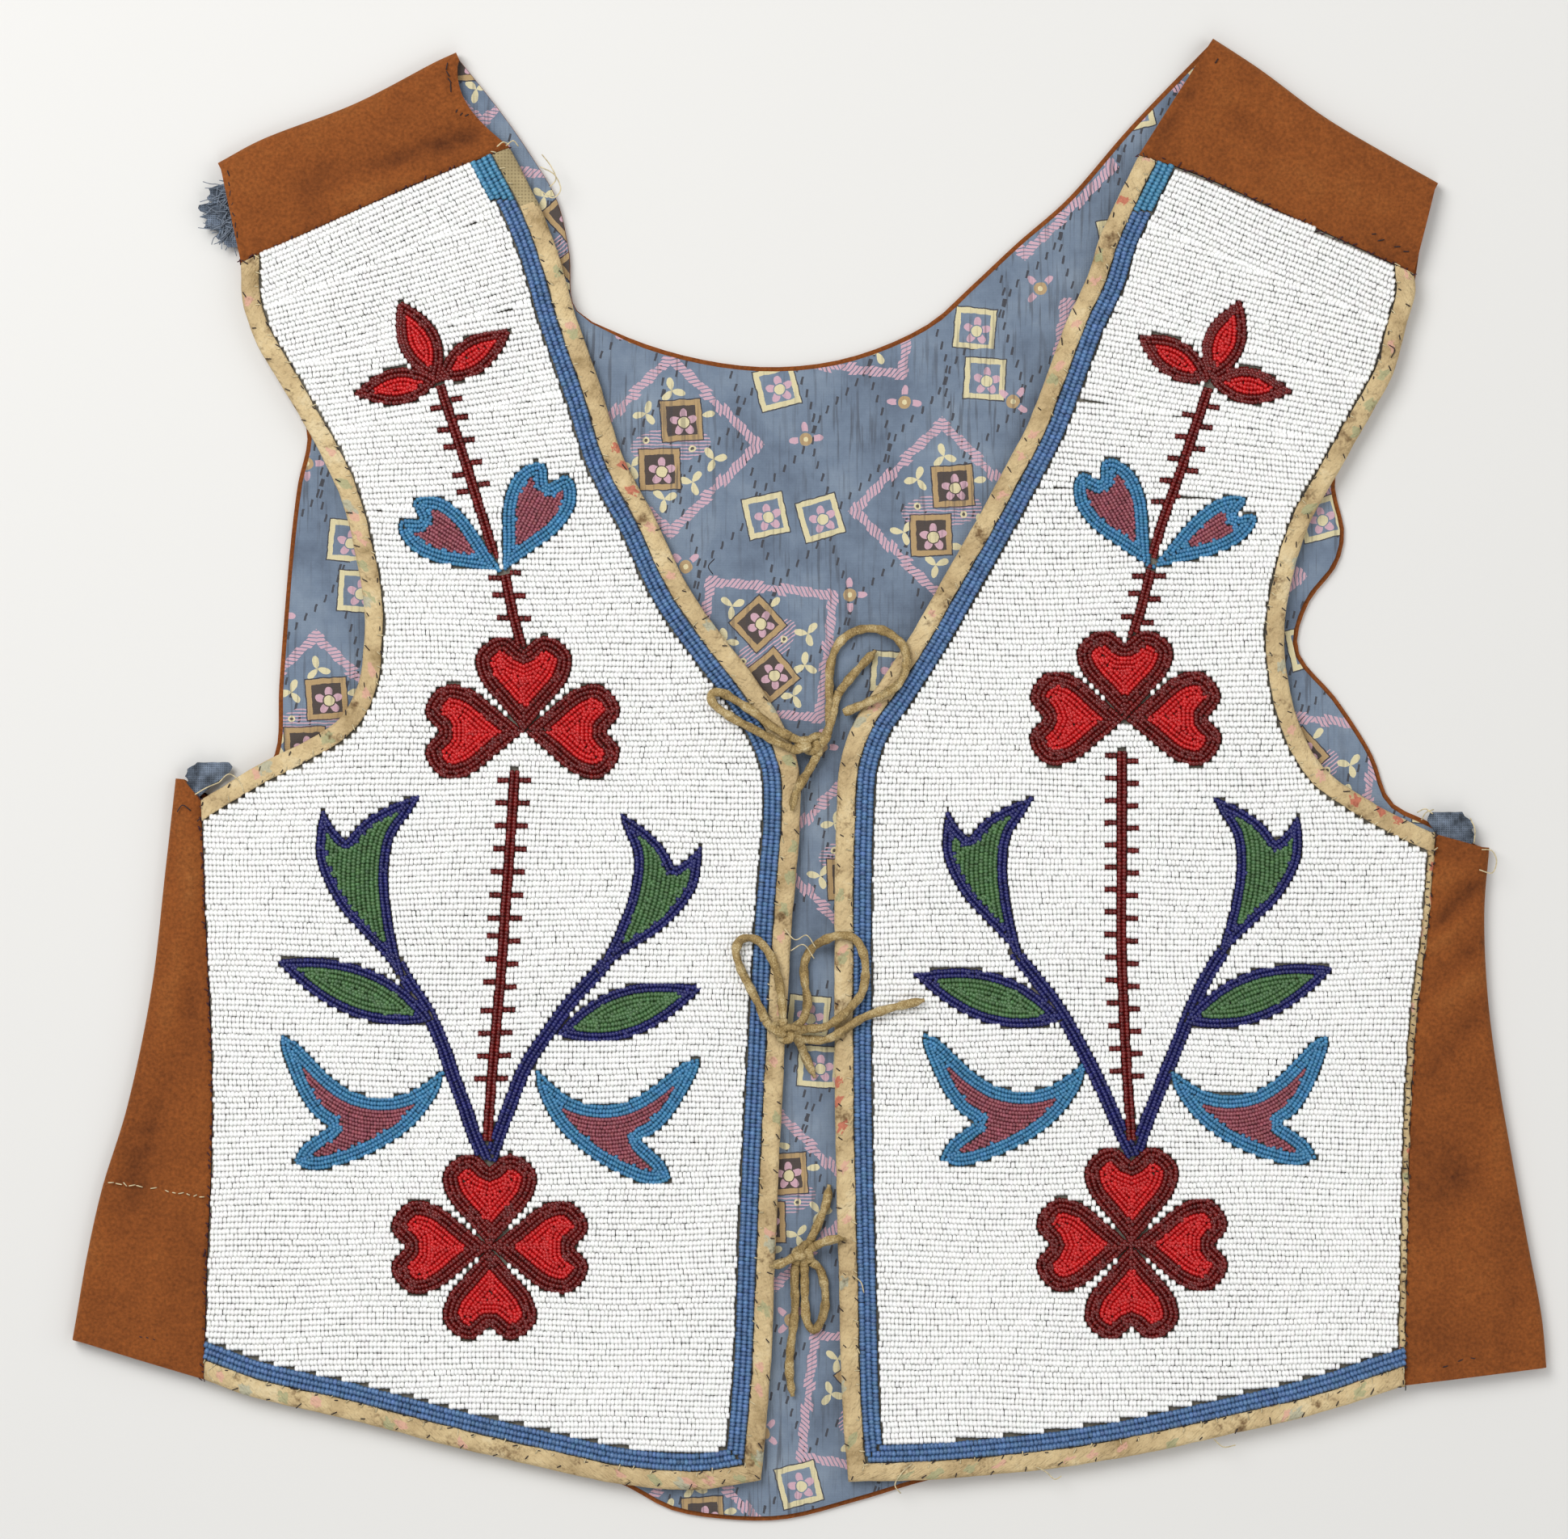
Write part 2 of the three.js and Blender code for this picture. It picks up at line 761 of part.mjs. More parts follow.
// Sweeps a section along an edge. Each station has its place and the way in, the section has its own
// distance in and height.
function rail(stations, section) {
  const points = [];
  const triangles = [];
  for (const { place, inward } of stations) {
    for (const { deep, height } of section) {
      points.push(new THREE.Vector3(place.x + inward.x * deep, place.y + inward.y * deep, height));
    }
  }
  const size = section.length;
  for (let s = 0; s + 1 < stations.length; s++) {
    for (let k = 0; k < size; k++) {
      const [a, b] = [s * size + k, s * size + ((k + 1) % size)];
      triangles.push([a, b, b + size]);
      triangles.push([a, b + size, a + size]);
    }
  }
  const outline = section.map((p) => new THREE.Vector2(p.deep, p.height));
  const last = (stations.length - 1) * size;
  for (const [a, b, c] of THREE.ShapeUtils.triangulateShape(outline, [])) {
    triangles.push([c, b, a]);
    triangles.push([a + last, b + last, c + last]);
  }
  return solidFrom(points, triangles);
}

// ---- The back -----------------------------------------------------------------------

const sideRows = 8;
const armholeRows = 4;
const strapRows = 5;
const strapColumns = 7;
const neckColumns = 6;
const smoothingRounds = 60;

const placed = (side) => (row) => ({ x: side.side * row.out, up: row.up });
const sideLine = (side, rows) => smoothLine(rows.map(placed(side)));

// The back's flat part: torso and two straps, with the lines where velvet turns over.
function backShape(setback, foldReach) {
  const { left, right, neck, hem } = back;
  const edges = [
    sideLine(left, left.fold),
    sideLine(left, left.armhole),
    sideLine(left, left.shoulder),
    smoothLine(neck),
    sideLine(right, right.shoulder).reverse(),
    sideLine(right, right.armhole).reverse(),
    sideLine(right, right.fold).reverse(),
    smoothLine(hem).reverse(),
  ];
  const distances = [foldReach, setback, foldReach, setback, foldReach, setback, foldReach, setback];
  const loop = trimmedLoop(edges, distances);
  const [leftFold, leftArmhole, leftShoulder, neckLine, rightShoulder] = loop;
  const [rightArmhole, rightFold, hemLine] = loop.slice(5).map((line) => [...line].reverse());
  const [leftLow, leftHigh] = splitWhere(leftArmhole, (p) => p.y > left.strapStart);
  const [rightLow, rightHigh] = splitWhere(rightArmhole, (p) => p.y > right.strapStart);
  const [neckLeft, neckRest] = splitWhere(neckLine, (p) => p.x > back.strapStartsOnNeck.left);
  const [neckMiddle, neckRight] = splitWhere(neckRest, (p) => p.x > back.strapStartsOnNeck.right);
  const leftSide = stationsOn(leftFold, sideRows);
  const rightSide = stationsOn(rightFold, sideRows);
  const leftBase = stationsOn([leftHigh[0], neckMiddle[0]], strapColumns);
  const rightBase = stationsOn([neckRight[0], rightHigh[0]], strapColumns);
  const torso = patch(
    stationsOn(hemLine, 2 * strapColumns + neckColumns),
    [...leftBase, ...stationsOn(neckMiddle, neckColumns).slice(1), ...rightBase.slice(1)],
    [...leftSide, ...stationsOn(leftLow, armholeRows).slice(1)],
    [...rightSide, ...stationsOn(rightLow, armholeRows).slice(1)],
  );
  const leftTop = stationsOn(leftShoulder, strapColumns);
  const rightTop = stationsOn(rightShoulder, strapColumns);
  const leftStrap = patch(
    leftBase,
    leftTop,
    stationsOn(leftHigh, strapRows),
    stationsOn([...neckLeft].reverse(), strapRows),
  );
  const rightStrap = patch(
    rightBase,
    rightTop,
    stationsOn(neckRight, strapRows),
    stationsOn(rightHigh, strapRows),
  );
  const flat = [relaxed(torso, smoothingRounds), leftStrap, rightStrap];
  return { flat, leftSide, rightSide, leftTop, rightTop };
}

// The velvet beyond a fold line: round the turn and back over the top as far as its seam.
// hand is 1 where outwards is to the left of the stations' direction, and -1 where it is to the right.
function turnedOver(stations, seam, hand, flatSteps) {
  return stations.map((base, k) => {
    const before = stations[Math.max(k - 1, 0)];
    const after = stations[Math.min(k + 1, stations.length - 1)];
    const along = after.clone().sub(before).normalize();
    const outward = new THREE.Vector2(-along.y, along.x).multiplyScalar(hand);
    const places = [];
    for (let m = 0; m <= turnSteps; m++) {
      const angle = (Math.PI * m) / turnSteps;
      const reach = turnRadius * Math.sin(angle);
      const height = velvetMiddle + turnRadius * (1 - Math.cos(angle));
      places.push(new THREE.Vector3(base.x + outward.x * reach, base.y + outward.y * reach, height));
    }
    for (let m = 1; m <= flatSteps; m++) {
      const place = base.clone().lerp(seam[k], m / flatSteps);
      places.push(new THREE.Vector3(place.x, place.y, frontMiddle));
    }
    return places;
  });
}

const turned = (grid) => grid[0].map((_, m) => grid.map((row) => row[m]));

function backVelvet() {
  const { flat, leftSide, rightSide, leftTop, rightTop } = backShape(0, turnReach);
  const seamOf = (side, edge, count) => stationsOn(sideLine(side, side[edge]), count);
  const leftSeam = seamOf(fronts.left, "seam", sideRows).reverse();
  const rightSeam = seamOf(fronts.right, "seam", sideRows).reverse();
  const leftShoulder = seamOf(fronts.left, "shoulder", strapColumns).reverse();
  const rightShoulder = seamOf(fronts.right, "shoulder", strapColumns);
  const grids = flat.map((grid) => lifted(grid, () => velvetMiddle));
  grids.push(turnedOver(leftSide, leftSeam, 1, 2).map((row) => row.reverse()));
  grids.push(turnedOver(rightSide, rightSeam, -1, 2));
  grids.push(turned(turnedOver(leftTop, leftShoulder, 1, 3)));
  grids.push(turned(turnedOver(rightTop, rightShoulder, 1, 3)));
  return wall(grids, velvetThick);
}

function backLining() {
  const { flat } = backShape(liningSetback, liningReach);
  return wall(flat.map((grid) => lifted(grid, () => liningMiddle)), liningThick);
}

function liningBit({ side, rows }) {
  const columns = 2;
  const grid = [...rows].reverse().map(({ up, from, to }) => {
    const places = [];
    for (let j = 0; j <= columns; j++) {
      places.push(new THREE.Vector3(side * (from + ((to - from) * j) / columns), up, sideLiningMiddle));
    }
    return places;
  });
  return wall([grid], liningThick);
}

// ---- The fronts ---------------------------------------------------------------------

const edgeNames = ["shoulder", "armhole", "seam", "hem", "neck"];
const lastOf = (list) => list[list.length - 1];

function frontLoop(front, atArmhole, atEdge) {
  const edges = edgeNames.map((name) => smoothLine(front[name]));
  return trimmedLoop(edges, [seamGap, atArmhole, seamGap, atEdge, atEdge]);
}

// A station is a place on the finished edge and the way in from it, per millimetre of depth.
// Each row of an edge's table gives one, apart from its two corners.
function rowStations(rows) {
  const line = smoothLine(rows);
  return rows.slice(1, -1).map((row) => {
    const place = new THREE.Vector2(row.out, row.up);
    const distances = line.map((p) => p.distanceTo(place));
    const k = distances.indexOf(Math.min(...distances));
    const along = line[k + 1].clone().sub(line[k - 1]).normalize();
    return { place, inward: new THREE.Vector2(along.y, -along.x) };
  });
}

function cornerStation(outer, inner, depth) {
  return { place: outer, inward: inner.clone().sub(outer).divideScalar(depth) };
}

// The stations of a front's hem, neck and armhole, with their corners.
function edgesOf(front) {
  const [, armhole, , hem, neck] = frontLoop(front, 0, 0);
  const [, innerArmhole, , innerHem, innerNeck] = frontLoop(front, bindingWidth, fieldStart);
  const sideCorner = cornerStation(hem[0], innerHem[0], fieldStart);
  const frontCorner = cornerStation(neck[0], innerNeck[0], fieldStart);
  const neckTop = cornerStation(lastOf(neck), lastOf(innerNeck), fieldStart);
  const armholeTop = cornerStation(armhole[0], innerArmhole[0], bindingWidth);
  const underarm = cornerStation(lastOf(armhole), lastOf(innerArmhole), bindingWidth);
  return {
    hem: [sideCorner, ...rowStations(front.hem), frontCorner],
    neck: [frontCorner, ...rowStations(front.neck), neckTop],
    armhole: [armholeTop, ...rowStations(front.armhole), underarm],
  };
}

const deepIn = (stations, depth) =>
  stations.map(({ place, inward }) => place.clone().addScaledVector(inward, depth));

// How far the front's cloth rises or sinks at a place.
function frontRise(name, place) {
  let rise = 0;
  for (const fold of frontFolds[name]) {
    const across = (place.x - fold.out) / fold.across;
    const along = (place.y - fold.up) / fold.along;
    rise += fold.rise * Math.exp(-(across * across + along * along));
  }
  return rise;
}

// A wall that covers a front as far out as the given depths from its finished edges.
function frontWall(name, atArmhole, atEdge, middle, thickness) {
  const front = fronts[name];
  const edges = edgesOf(front);
  const hem = deepIn(edges.hem, atEdge).reverse();
  const neck = deepIn(edges.neck, atEdge);
  const armhole = deepIn(edges.armhole, atArmhole).reverse();
  const [shoulder, , seam] = frontLoop(front, atArmhole, atEdge);
  const seamRows = neck.length - armhole.length;
  const outer = [...stationsOn([...seam].reverse(), seamRows).slice(0, -1), ...armhole];
  const top = stationsOn(shoulder, hem.length - 1);
  top[0] = lastOf(neck);
  top[top.length - 1] = lastOf(outer);
  outer[0] = lastOf(hem);
  const grid = patch(hem, top, neck, outer);
  const raised = lifted(grid, (place) => middle + frontRise(name, place));
  for (const row of raised) for (const place of row) place.x *= front.side;
  return wall([raised], thickness);
}

// Sweeps a section round part of a front's edge.
function edgeRail(front, stations, section) {
  const placedStations = stations.map(({ place, inward }) => ({
    place: new THREE.Vector2(front.side * place.x, place.y),
    inward: new THREE.Vector2(front.side * inward.x, inward.y),
  }));
  return rail(placedStations, section);
}

// The binding's folded strip: under the cloth's edge, round it and over it.
const bindingSection = [
  { deep: bindingWidth, height: bindingUnderside },
  { deep: bindingWidth, height: bindingUnderside + bindingThick },
  { deep: bindingThick, height: bindingUnderside + bindingThick },
  { deep: bindingThick, height: beadUnderside },
  { deep: bindingWidth, height: beadUnderside },
  { deep: bindingWidth, height: bindingTop },
  { deep: 1.4, height: bindingTop },
  { deep: 0.35, height: bindingTop - 0.5 },
  { deep: 0, height: (bindingTop + bindingUnderside) / 2 },
  { deep: 0.35, height: bindingUnderside + 0.5 },
  { deep: 1.4, height: bindingUnderside },
];

const borderSection = [
  { deep: borderStart, height: beadUnderside },
  { deep: borderStart + borderWidth, height: beadUnderside },
  { deep: borderStart + borderWidth, height: beadUnderside + borderThick },
  { deep: borderStart, height: beadUnderside + borderThick },
];

// ---- The ties -----------------------------------------------------------------------

function knotShape({ x, y, z, length, width, height, turn }) {
  const ball = new THREE.SphereGeometry(1, 10, 8);
  ball.scale(length, width, height);
  ball.rotateZ(THREE.MathUtils.degToRad(turn));
  ball.translate(x, y, z);
  return positionOnly(ball);
}

function thongShape({ points }) {
  const path = new THREE.CatmullRomCurve3(points.map((p) => new THREE.Vector3(p.x, p.y, p.z)));
  const outline = [];
  for (let k = 0; k < thongSides; k++) {
    const angle = (2 * Math.PI * k) / thongSides;
    outline.push(new THREE.Vector2(Math.cos(angle), Math.sin(angle)).multiplyScalar(thongDiameter / 2));
  }
  const steps = Math.max(4, Math.ceil(path.getLength() / thongStep));
  const settings = { steps, extrudePath: path, bevelEnabled: false };
  return positionOnly(new THREE.ExtrudeGeometry(new THREE.Shape(outline), settings));
}

function positionOnly(geometry) {
  geometry.deleteAttribute("normal");
  geometry.deleteAttribute("uv");
  return faceOutward(mergeVertices(geometry, 1e-3));
}

// ---- The vest -----------------------------------------------------------------------

const vest = new THREE.Group();

function add(name, geometry, colour, roughness) {
  geometry.computeVertexNormals();
  const material = new THREE.MeshStandardMaterial({ color: colour, roughness, metalness: 0 });
  const mesh = new THREE.Mesh(geometry, material);
  mesh.name = name;
  vest.add(mesh);
}

add("back_velvet", backVelvet(), colours.velvet, 0.9);
add("back_lining", backLining(), colours.lining, 0.85);
for (const bit of liningBits) add(bit.name, liningBit(bit), bit.colour, 0.9);

for (const [name, front] of Object.entries(fronts)) {
  const fieldMiddle = beadUnderside + fieldThick / 2;
  const cloth = frontWall(name, clothSetback, clothSetback, frontMiddle, frontThick);
  const field = frontWall(name, fieldStartAtArmhole, fieldStart, fieldMiddle, fieldThick);
  add(name + "_front", cloth, colours.backing, 0.9);
  add(name + "_bead_field", field, colours.whiteBeads, 0.35);
  const { hem, neck, armhole } = edgesOf(front);
  const longEdge = [...hem, ...neck.slice(1)];
  add(name + "_bead_border", edgeRail(front, longEdge, borderSection), colours.blueBeads, 0.35);
  add(name + "_edge_binding", edgeRail(front, longEdge, bindingSection), colours.calico, 0.85);
  add(name + "_armhole_binding", edgeRail(front, armhole, bindingSection), colours.calico, 0.85);
}

for (const knot of knots) add(knot.name, knotShape(knot), colours.thong, 0.7);
for (const thong of thongs) add(thong.name, thongShape(thong), colours.thong, 0.7);

export default vest;
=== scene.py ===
import math

import bmesh
import bpy
import numpy as np
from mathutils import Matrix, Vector


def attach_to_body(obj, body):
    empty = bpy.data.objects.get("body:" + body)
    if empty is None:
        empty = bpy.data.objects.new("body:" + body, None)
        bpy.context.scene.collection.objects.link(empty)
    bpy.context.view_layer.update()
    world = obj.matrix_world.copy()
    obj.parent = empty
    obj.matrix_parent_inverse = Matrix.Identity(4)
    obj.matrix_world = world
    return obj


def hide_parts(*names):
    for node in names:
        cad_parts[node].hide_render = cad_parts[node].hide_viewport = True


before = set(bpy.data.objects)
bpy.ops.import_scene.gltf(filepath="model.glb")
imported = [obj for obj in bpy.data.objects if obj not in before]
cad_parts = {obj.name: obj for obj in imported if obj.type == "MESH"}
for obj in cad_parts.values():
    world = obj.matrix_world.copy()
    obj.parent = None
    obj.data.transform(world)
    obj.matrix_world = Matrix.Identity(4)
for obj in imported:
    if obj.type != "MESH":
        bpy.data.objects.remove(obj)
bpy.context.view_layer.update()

rng = np.random.default_rng(11)
metre = 0.001  # every table below is in millimetres unless it says otherwise

# heights of the layers over the surface, as the frame's solids have them
layers = {
    "velvetMiddle": 0.6,
    "velvetThick": 1.2,
    "liningMiddle": 2.0,
    "liningThick": 1.0,
    "bindingUnder": 2.8,
    "frontMiddle": 4.7,
    "frontThick": 1.2,
    "bindingTop": 6.6,
    "beadFoot": 5.35,
}

# the beadwork is charted in squares of 0.26 mm, counted from the upper left; middle is the vest's own
chart = {"square": 0.26, "middle": (1001.5, 964.5)}


def onChart(points):
    squares = np.atleast_2d(np.array(points, float))
    middle = np.array(chart["middle"])
    return (squares - middle) * np.array([chart["square"], -chart["square"]])


# camera and light

view = {
    "height": 1900,
    "middle": onChart([(970, 952)])[0],
    "width": 1940 * chart["square"],
    "focus": 6,  # height of the layer that is framed
}


def makeCamera():
    camera = bpy.data.objects.new("camera", bpy.data.cameras.new("camera"))
    bpy.context.scene.collection.objects.link(camera)
    camera.location = (view["middle"][0] * metre, view["middle"][1] * metre, view["height"] * metre)
    camera.data.lens = camera.data.sensor_width * (view["height"] - view["focus"]) / view["width"]
    camera.data.clip_start, camera.data.clip_end = 0.05, 20
    bpy.context.scene.camera = camera


lights = [
    {"name": "keySoftbox", "place": (-0.8, 0.8, 1.35), "size": 1.1, "watts": 26},
    {"name": "rightSoftbox", "place": (1.4, 0.1, 1.1), "size": 1.4, "watts": 9},
    {"name": "lowFill", "place": (0.1, -1.5, 1.2), "size": 1.4, "watts": 8.5},
]


def makeLights():
    for light in lights:
        data = bpy.data.lights.new(light["name"], "AREA")
        data.shape = "SQUARE"
        data.size = light["size"]
        data.energy = light["watts"]
        lamp = bpy.data.objects.new(light["name"], data)
        lamp.location = light["place"]
        lamp.rotation_euler = (-Vector(light["place"])).to_track_quat("-Z", "Y").to_euler()
        bpy.context.scene.collection.objects.link(lamp)
    world = bpy.data.worlds.new("studio")
    world.use_nodes = True
    world.node_tree.nodes["Background"].inputs["Color"].default_value = (1, 1, 1, 1)
    world.node_tree.nodes["Background"].inputs["Strength"].default_value = 0.36
    bpy.context.scene.world = world
    bpy.context.scene.view_settings.view_transform = "Standard"  # white glass stays white


makeCamera()
makeLights()
print("camera and light made")

# materials


def linear(hexColour):
    values = [int(hexColour[k : k + 2], 16) / 255 for k in (1, 3, 5)]
    return (*[v / 12.92 if v <= 0.04045 else ((v + 0.055) / 1.055) ** 2.4 for v in values], 1)


def addNode(tree, kind, settings=None, inputs=None):
    # a ShaderNode of this kind; settings may be just an operation, and inputs a list from the first one on,
    # each a value, a socket or a node, which gives its first output
    node = tree.nodes.new("ShaderNode" + kind)
    settings = {"operation": settings} if isinstance(settings, str) else settings or {}
    inputs = dict(enumerate(inputs)) if isinstance(inputs, list) else inputs or {}
    for name, value in settings.items():
        if name == "stops":
            while len(node.color_ramp.elements) < len(value):
                node.color_ramp.elements.new(1)
            for element, (at, colour) in zip(node.color_ramp.elements, value):
                element.position = at
                element.color = colour
        else:
            setattr(node, name, value)
    for name, value in inputs.items():
        if isinstance(value, bpy.types.Node):
            value = value.outputs[0]
        if isinstance(value, bpy.types.NodeSocket):
            tree.links.new(value, node.inputs[name])
        else:
            node.inputs[name].default_value = value
    return node


def newMaterial(name, settings):
    material = bpy.data.materials.new(name)
    material.use_nodes = True
    shader = material.node_tree.nodes["Principled BSDF"]
    for key, value in settings.items():
        shader.inputs[key].default_value = value
    return material, material.node_tree, shader


def cottonVelvet():
    # cotton velvet, cut pile: dull, deep brown, with a paler sheen where the pile is rubbed or leans over,
    # and painted shade in the hollows of its folds and painted highlight on their ridges
    settings = {
        "Roughness": 0.95,
        "Specular IOR Level": 0.2,
        "Sheen Weight": 0.42,
        "Sheen Roughness": 0.45,
        "Sheen Tint": linear("#D79A62"),
    }
    material, tree, shader = newMaterial("cottonVelvet", settings)
    where = addNode(tree, "TexCoord").outputs["Object"]
    # the fold attribute holds the folds' heights, used below for painted shade and highlight
    fold = addNode(tree, "Attribute", {"attribute_name": "fold"}).outputs["Fac"]
    lean = addNode(tree, "TexNoise", None, {"Vector": where, "Scale": 22, "Detail": 5, "Roughness": 0.6})
    patches = addNode(tree, "TexNoise", None, {"Vector": where, "Scale": 70, "Detail": 8, "Roughness": 0.75})
    pile = addNode(tree, "TexNoise", None, {"Vector": where, "Scale": 1000, "Detail": 3})  # 1 mm tufts
    both = addNode(tree, "Mix", {"data_type": "FLOAT"}, {0: 0.5, 2: lean, 3: patches})
    # painted shade and highlight: the colour darkens in the hollows of the folds and lightens on their ridges
    foldShadedTone = addNode(tree, "Math", "MULTIPLY_ADD", [fold, 0.11, both])
    stops = [(0.26, "#502912"), (0.42, "#78411C"), (0.54, "#83481F"), (0.66, "#894F24"), (0.8, "#9A6335")]
    tone = addNode(tree, "ValToRGB", {"stops": [(at, linear(tint)) for at, tint in stops]}, {"Fac": foldShadedTone})
    speckle = addNode(tree, "Mix", {"data_type": "RGBA", "blend_type": "OVERLAY"}, {0: 0.6, 6: tone, 7: pile})
    tree.links.new(speckle.outputs[2], shader.inputs["Base Color"])
    bump = addNode(tree, "Bump", None, {"Strength": 0.6, "Distance": 0.0005, "Height": pile})
    soft = addNode(
        tree, "Bump", None, {"Strength": 0.6, "Distance": 0.002, "Height": patches, "Normal": bump}
    )
    tree.links.new(soft.outputs[0], shader.inputs["Normal"])
    return material


def plainCotton(name, dark, light, thread=0.45, blotch=22):
    # plain-woven cotton cloth, matte, with a fine weave; thread is its spacing and blotch the size of its
    # patches of darker tone: stains, and in the lining bits painted shade of creases
    material, tree, shader = newMaterial(name, {"Roughness": 0.9, "Specular IOR Level": 0.25})
    where = addNode(tree, "TexCoord").outputs["Object"]
    noise = addNode(
        tree,
        "TexNoise",
        None,
        {"Vector": where, "Scale": 1 / (blotch * metre), "Detail": 6, "Roughness": 0.65},
    )
    tone = addNode(tree, "ValToRGB", {"stops": [(0.3, linear(dark)), (0.7, linear(light))]}, {"Fac": noise})
    # a wave repeats every pi/10 of its scaled length
    scale = math.pi / 10 / (thread * metre)
    warp = addNode(tree, "TexWave", {"bands_direction": "X"}, {"Vector": where, "Scale": scale})
    weft = addNode(tree, "TexWave", {"bands_direction": "Y"}, {"Vector": where, "Scale": scale})
    weave = addNode(tree, "Math", "MAXIMUM", [warp.outputs[1], weft.outputs[1]])
    # between its threads the cloth is in shade
    gaps = addNode(tree, "MapRange", None, [weave, 0.75, 0.2, 0.0, 0.6])
    shaded = addNode(tree, "Mix", {"data_type": "RGBA"}, {0: gaps, 6: tone, 7: linear(dark)})
    tree.links.new(shaded.outputs[2], shader.inputs["Base Color"])
    bump = addNode(tree, "Bump", None, {"Strength": 0.5, "Distance": 0.0002, "Height": weave})
    tree.links.new(bump.outputs[0], shader.inputs["Normal"])
    return material


def printedCalico():
    # printed calico, aged: cream cotton with faded small flowers, brown stains and a fine twill
    material, tree, shader = newMaterial("printedCalico", {"Roughness": 0.88, "Specular IOR Level": 0.25})
    along = addNode(tree, "Attribute", {"attribute_name": "strip"}).outputs["Vector"]
    where = addNode(tree, "TexCoord").outputs["Object"]
    age = addNode(tree, "TexNoise", None, {"Vector": where, "Scale": 55, "Detail": 6, "Roughness": 0.7})
    cloth = addNode(
        tree,
        "ValToRGB",
        {
            "stops": [
                (0.3, linear("#8E7750")),
                (0.43, linear("#B8A077")),
                (0.57, linear("#CDB68A")),
                (0.75, linear("#DDCDA8")),
            ]
        },
        {"Fac": age},
    )
    colour = cloth.outputs[0]
    # flowers about 5 mm across, one in each 13 mm of strip, drawn by warped cells
    prints = [
        ("#B9564A", 0.075, 0.0, 0.8),
        ("#D3A08F", 0.085, 3.1, 0.72),
        ("#9DA07A", 0.07, 7.7, 0.76),
        ("#A9AC98", 0.06, 12.3, 0.82),
    ]
    for hexColour, scale, shift, low in prints:
        moved = addNode(tree, "VectorMath", "ADD", [along, (shift * 11, shift, shift)])
        bend = addNode(tree, "TexNoise", None, {"Vector": moved, "Scale": 0.5, "Detail": 2})
        warped = addNode(
            tree, "VectorMath", "MULTIPLY_ADD", [bend.outputs[1], (5, 5, 0), moved]
        )
        cells = addNode(
            tree, "TexVoronoi", {"voronoi_dimensions": "2D"}, {"Vector": warped, "Scale": scale * 2}
        )
        chosen = addNode(tree, "Math", "GREATER_THAN", [cells.outputs["Color"], low])
        near = addNode(
            tree,
            "MapRange",
            {"interpolation_type": "SMOOTHSTEP"},
            [cells.outputs["Distance"], 0.3, 0.22, 0.0, 0.75],
        )
        mask = addNode(tree, "Math", "MULTIPLY", [near, chosen])
        mixed = addNode(tree, "Mix", {"data_type": "RGBA"}, {0: mask, 6: colour, 7: linear(hexColour)})
        colour = mixed.outputs[2]
    stains = addNode(tree, "TexNoise", None, {"Vector": where, "Scale": 95, "Detail": 4, "Roughness": 0.75})
    dirt = addNode(tree, "MapRange", None, [stains, 0.58, 0.7, 0.0, 0.8])
    stained = addNode(
        tree,
        "Mix",
        {"data_type": "RGBA", "blend_type": "MULTIPLY"},
        {0: dirt, 6: colour, 7: linear("#6E4E2C")},
    )
    tree.links.new(stained.outputs[2], shader.inputs["Base Color"])
    # twill lines 0.7 mm apart, drawn coarser than the real 0.4 mm so that they show
    twill = addNode(
        tree,
        "TexWave",
        {"bands_direction": "DIAGONAL"},
        {"Vector": along, "Scale": math.pi / 10 / 0.7, "Distortion": 0.6, "Detail Scale": 3},
    )
    creases = addNode(tree, "TexNoise", None, {"Vector": along, "Scale": 0.45, "Detail": 4})
    fine = addNode(tree, "Bump", None, {"Strength": 0.35, "Distance": 0.0002, "Height": twill.outputs[1]})
    bump = addNode(tree, "Bump", None, {"Strength": 1, "Distance": 0.0014, "Height": creases, "Normal": fine})
    tree.links.new(bump.outputs[0], shader.inputs["Normal"])
    return material


def tannedThong():
    # vegetable-tanned leather thong, matte, with darker handled places
    material, tree, shader = newMaterial("tannedThong", {"Roughness": 0.7})
    where = addNode(tree, "TexCoord").outputs["Object"]
    along = addNode(tree, "Attribute", {"attribute_name": "strip"}).outputs["Vector"]
    wear = addNode(tree, "TexNoise", None, {"Vector": where, "Scale": 160, "Detail": 6, "Roughness": 0.65})
    fibre = addNode(tree, "TexNoise", None, {"Vector": along, "Scale": 2.2, "Detail": 4})
    both = addNode(tree, "Mix", {"data_type": "FLOAT"}, {0: 0.4, 2: wear, 3: fibre})
    tone = addNode(
        tree,
        "ValToRGB",
        {"stops": [(0.33, linear("#57421F")), (0.5, linear("#A08653")), (0.66, linear("#D6C497"))]},
        {"Fac": both},
    )
    tree.links.new(tone.outputs[0], shader.inputs["Base Color"])
    bump = addNode(tree, "Bump", None, {"Strength": 0.9, "Distance": 0.0006, "Height": fibre})
    tree.links.new(bump.outputs[0], shader.inputs["Normal"])
    return material


def seedBeadGlass():
    # opaque pressed seed-bead glass, fire polished: small soft highlights; its colour is each bead's own
    material, tree, shader = newMaterial("seedBeadGlass", {"Roughness": 0.32, "IOR": 1.5})
    colour = addNode(tree, "Attribute", {"attribute_name": "beadColour"}).outputs["Color"]
    tree.links.new(colour, shader.inputs["Base Color"])
    return material


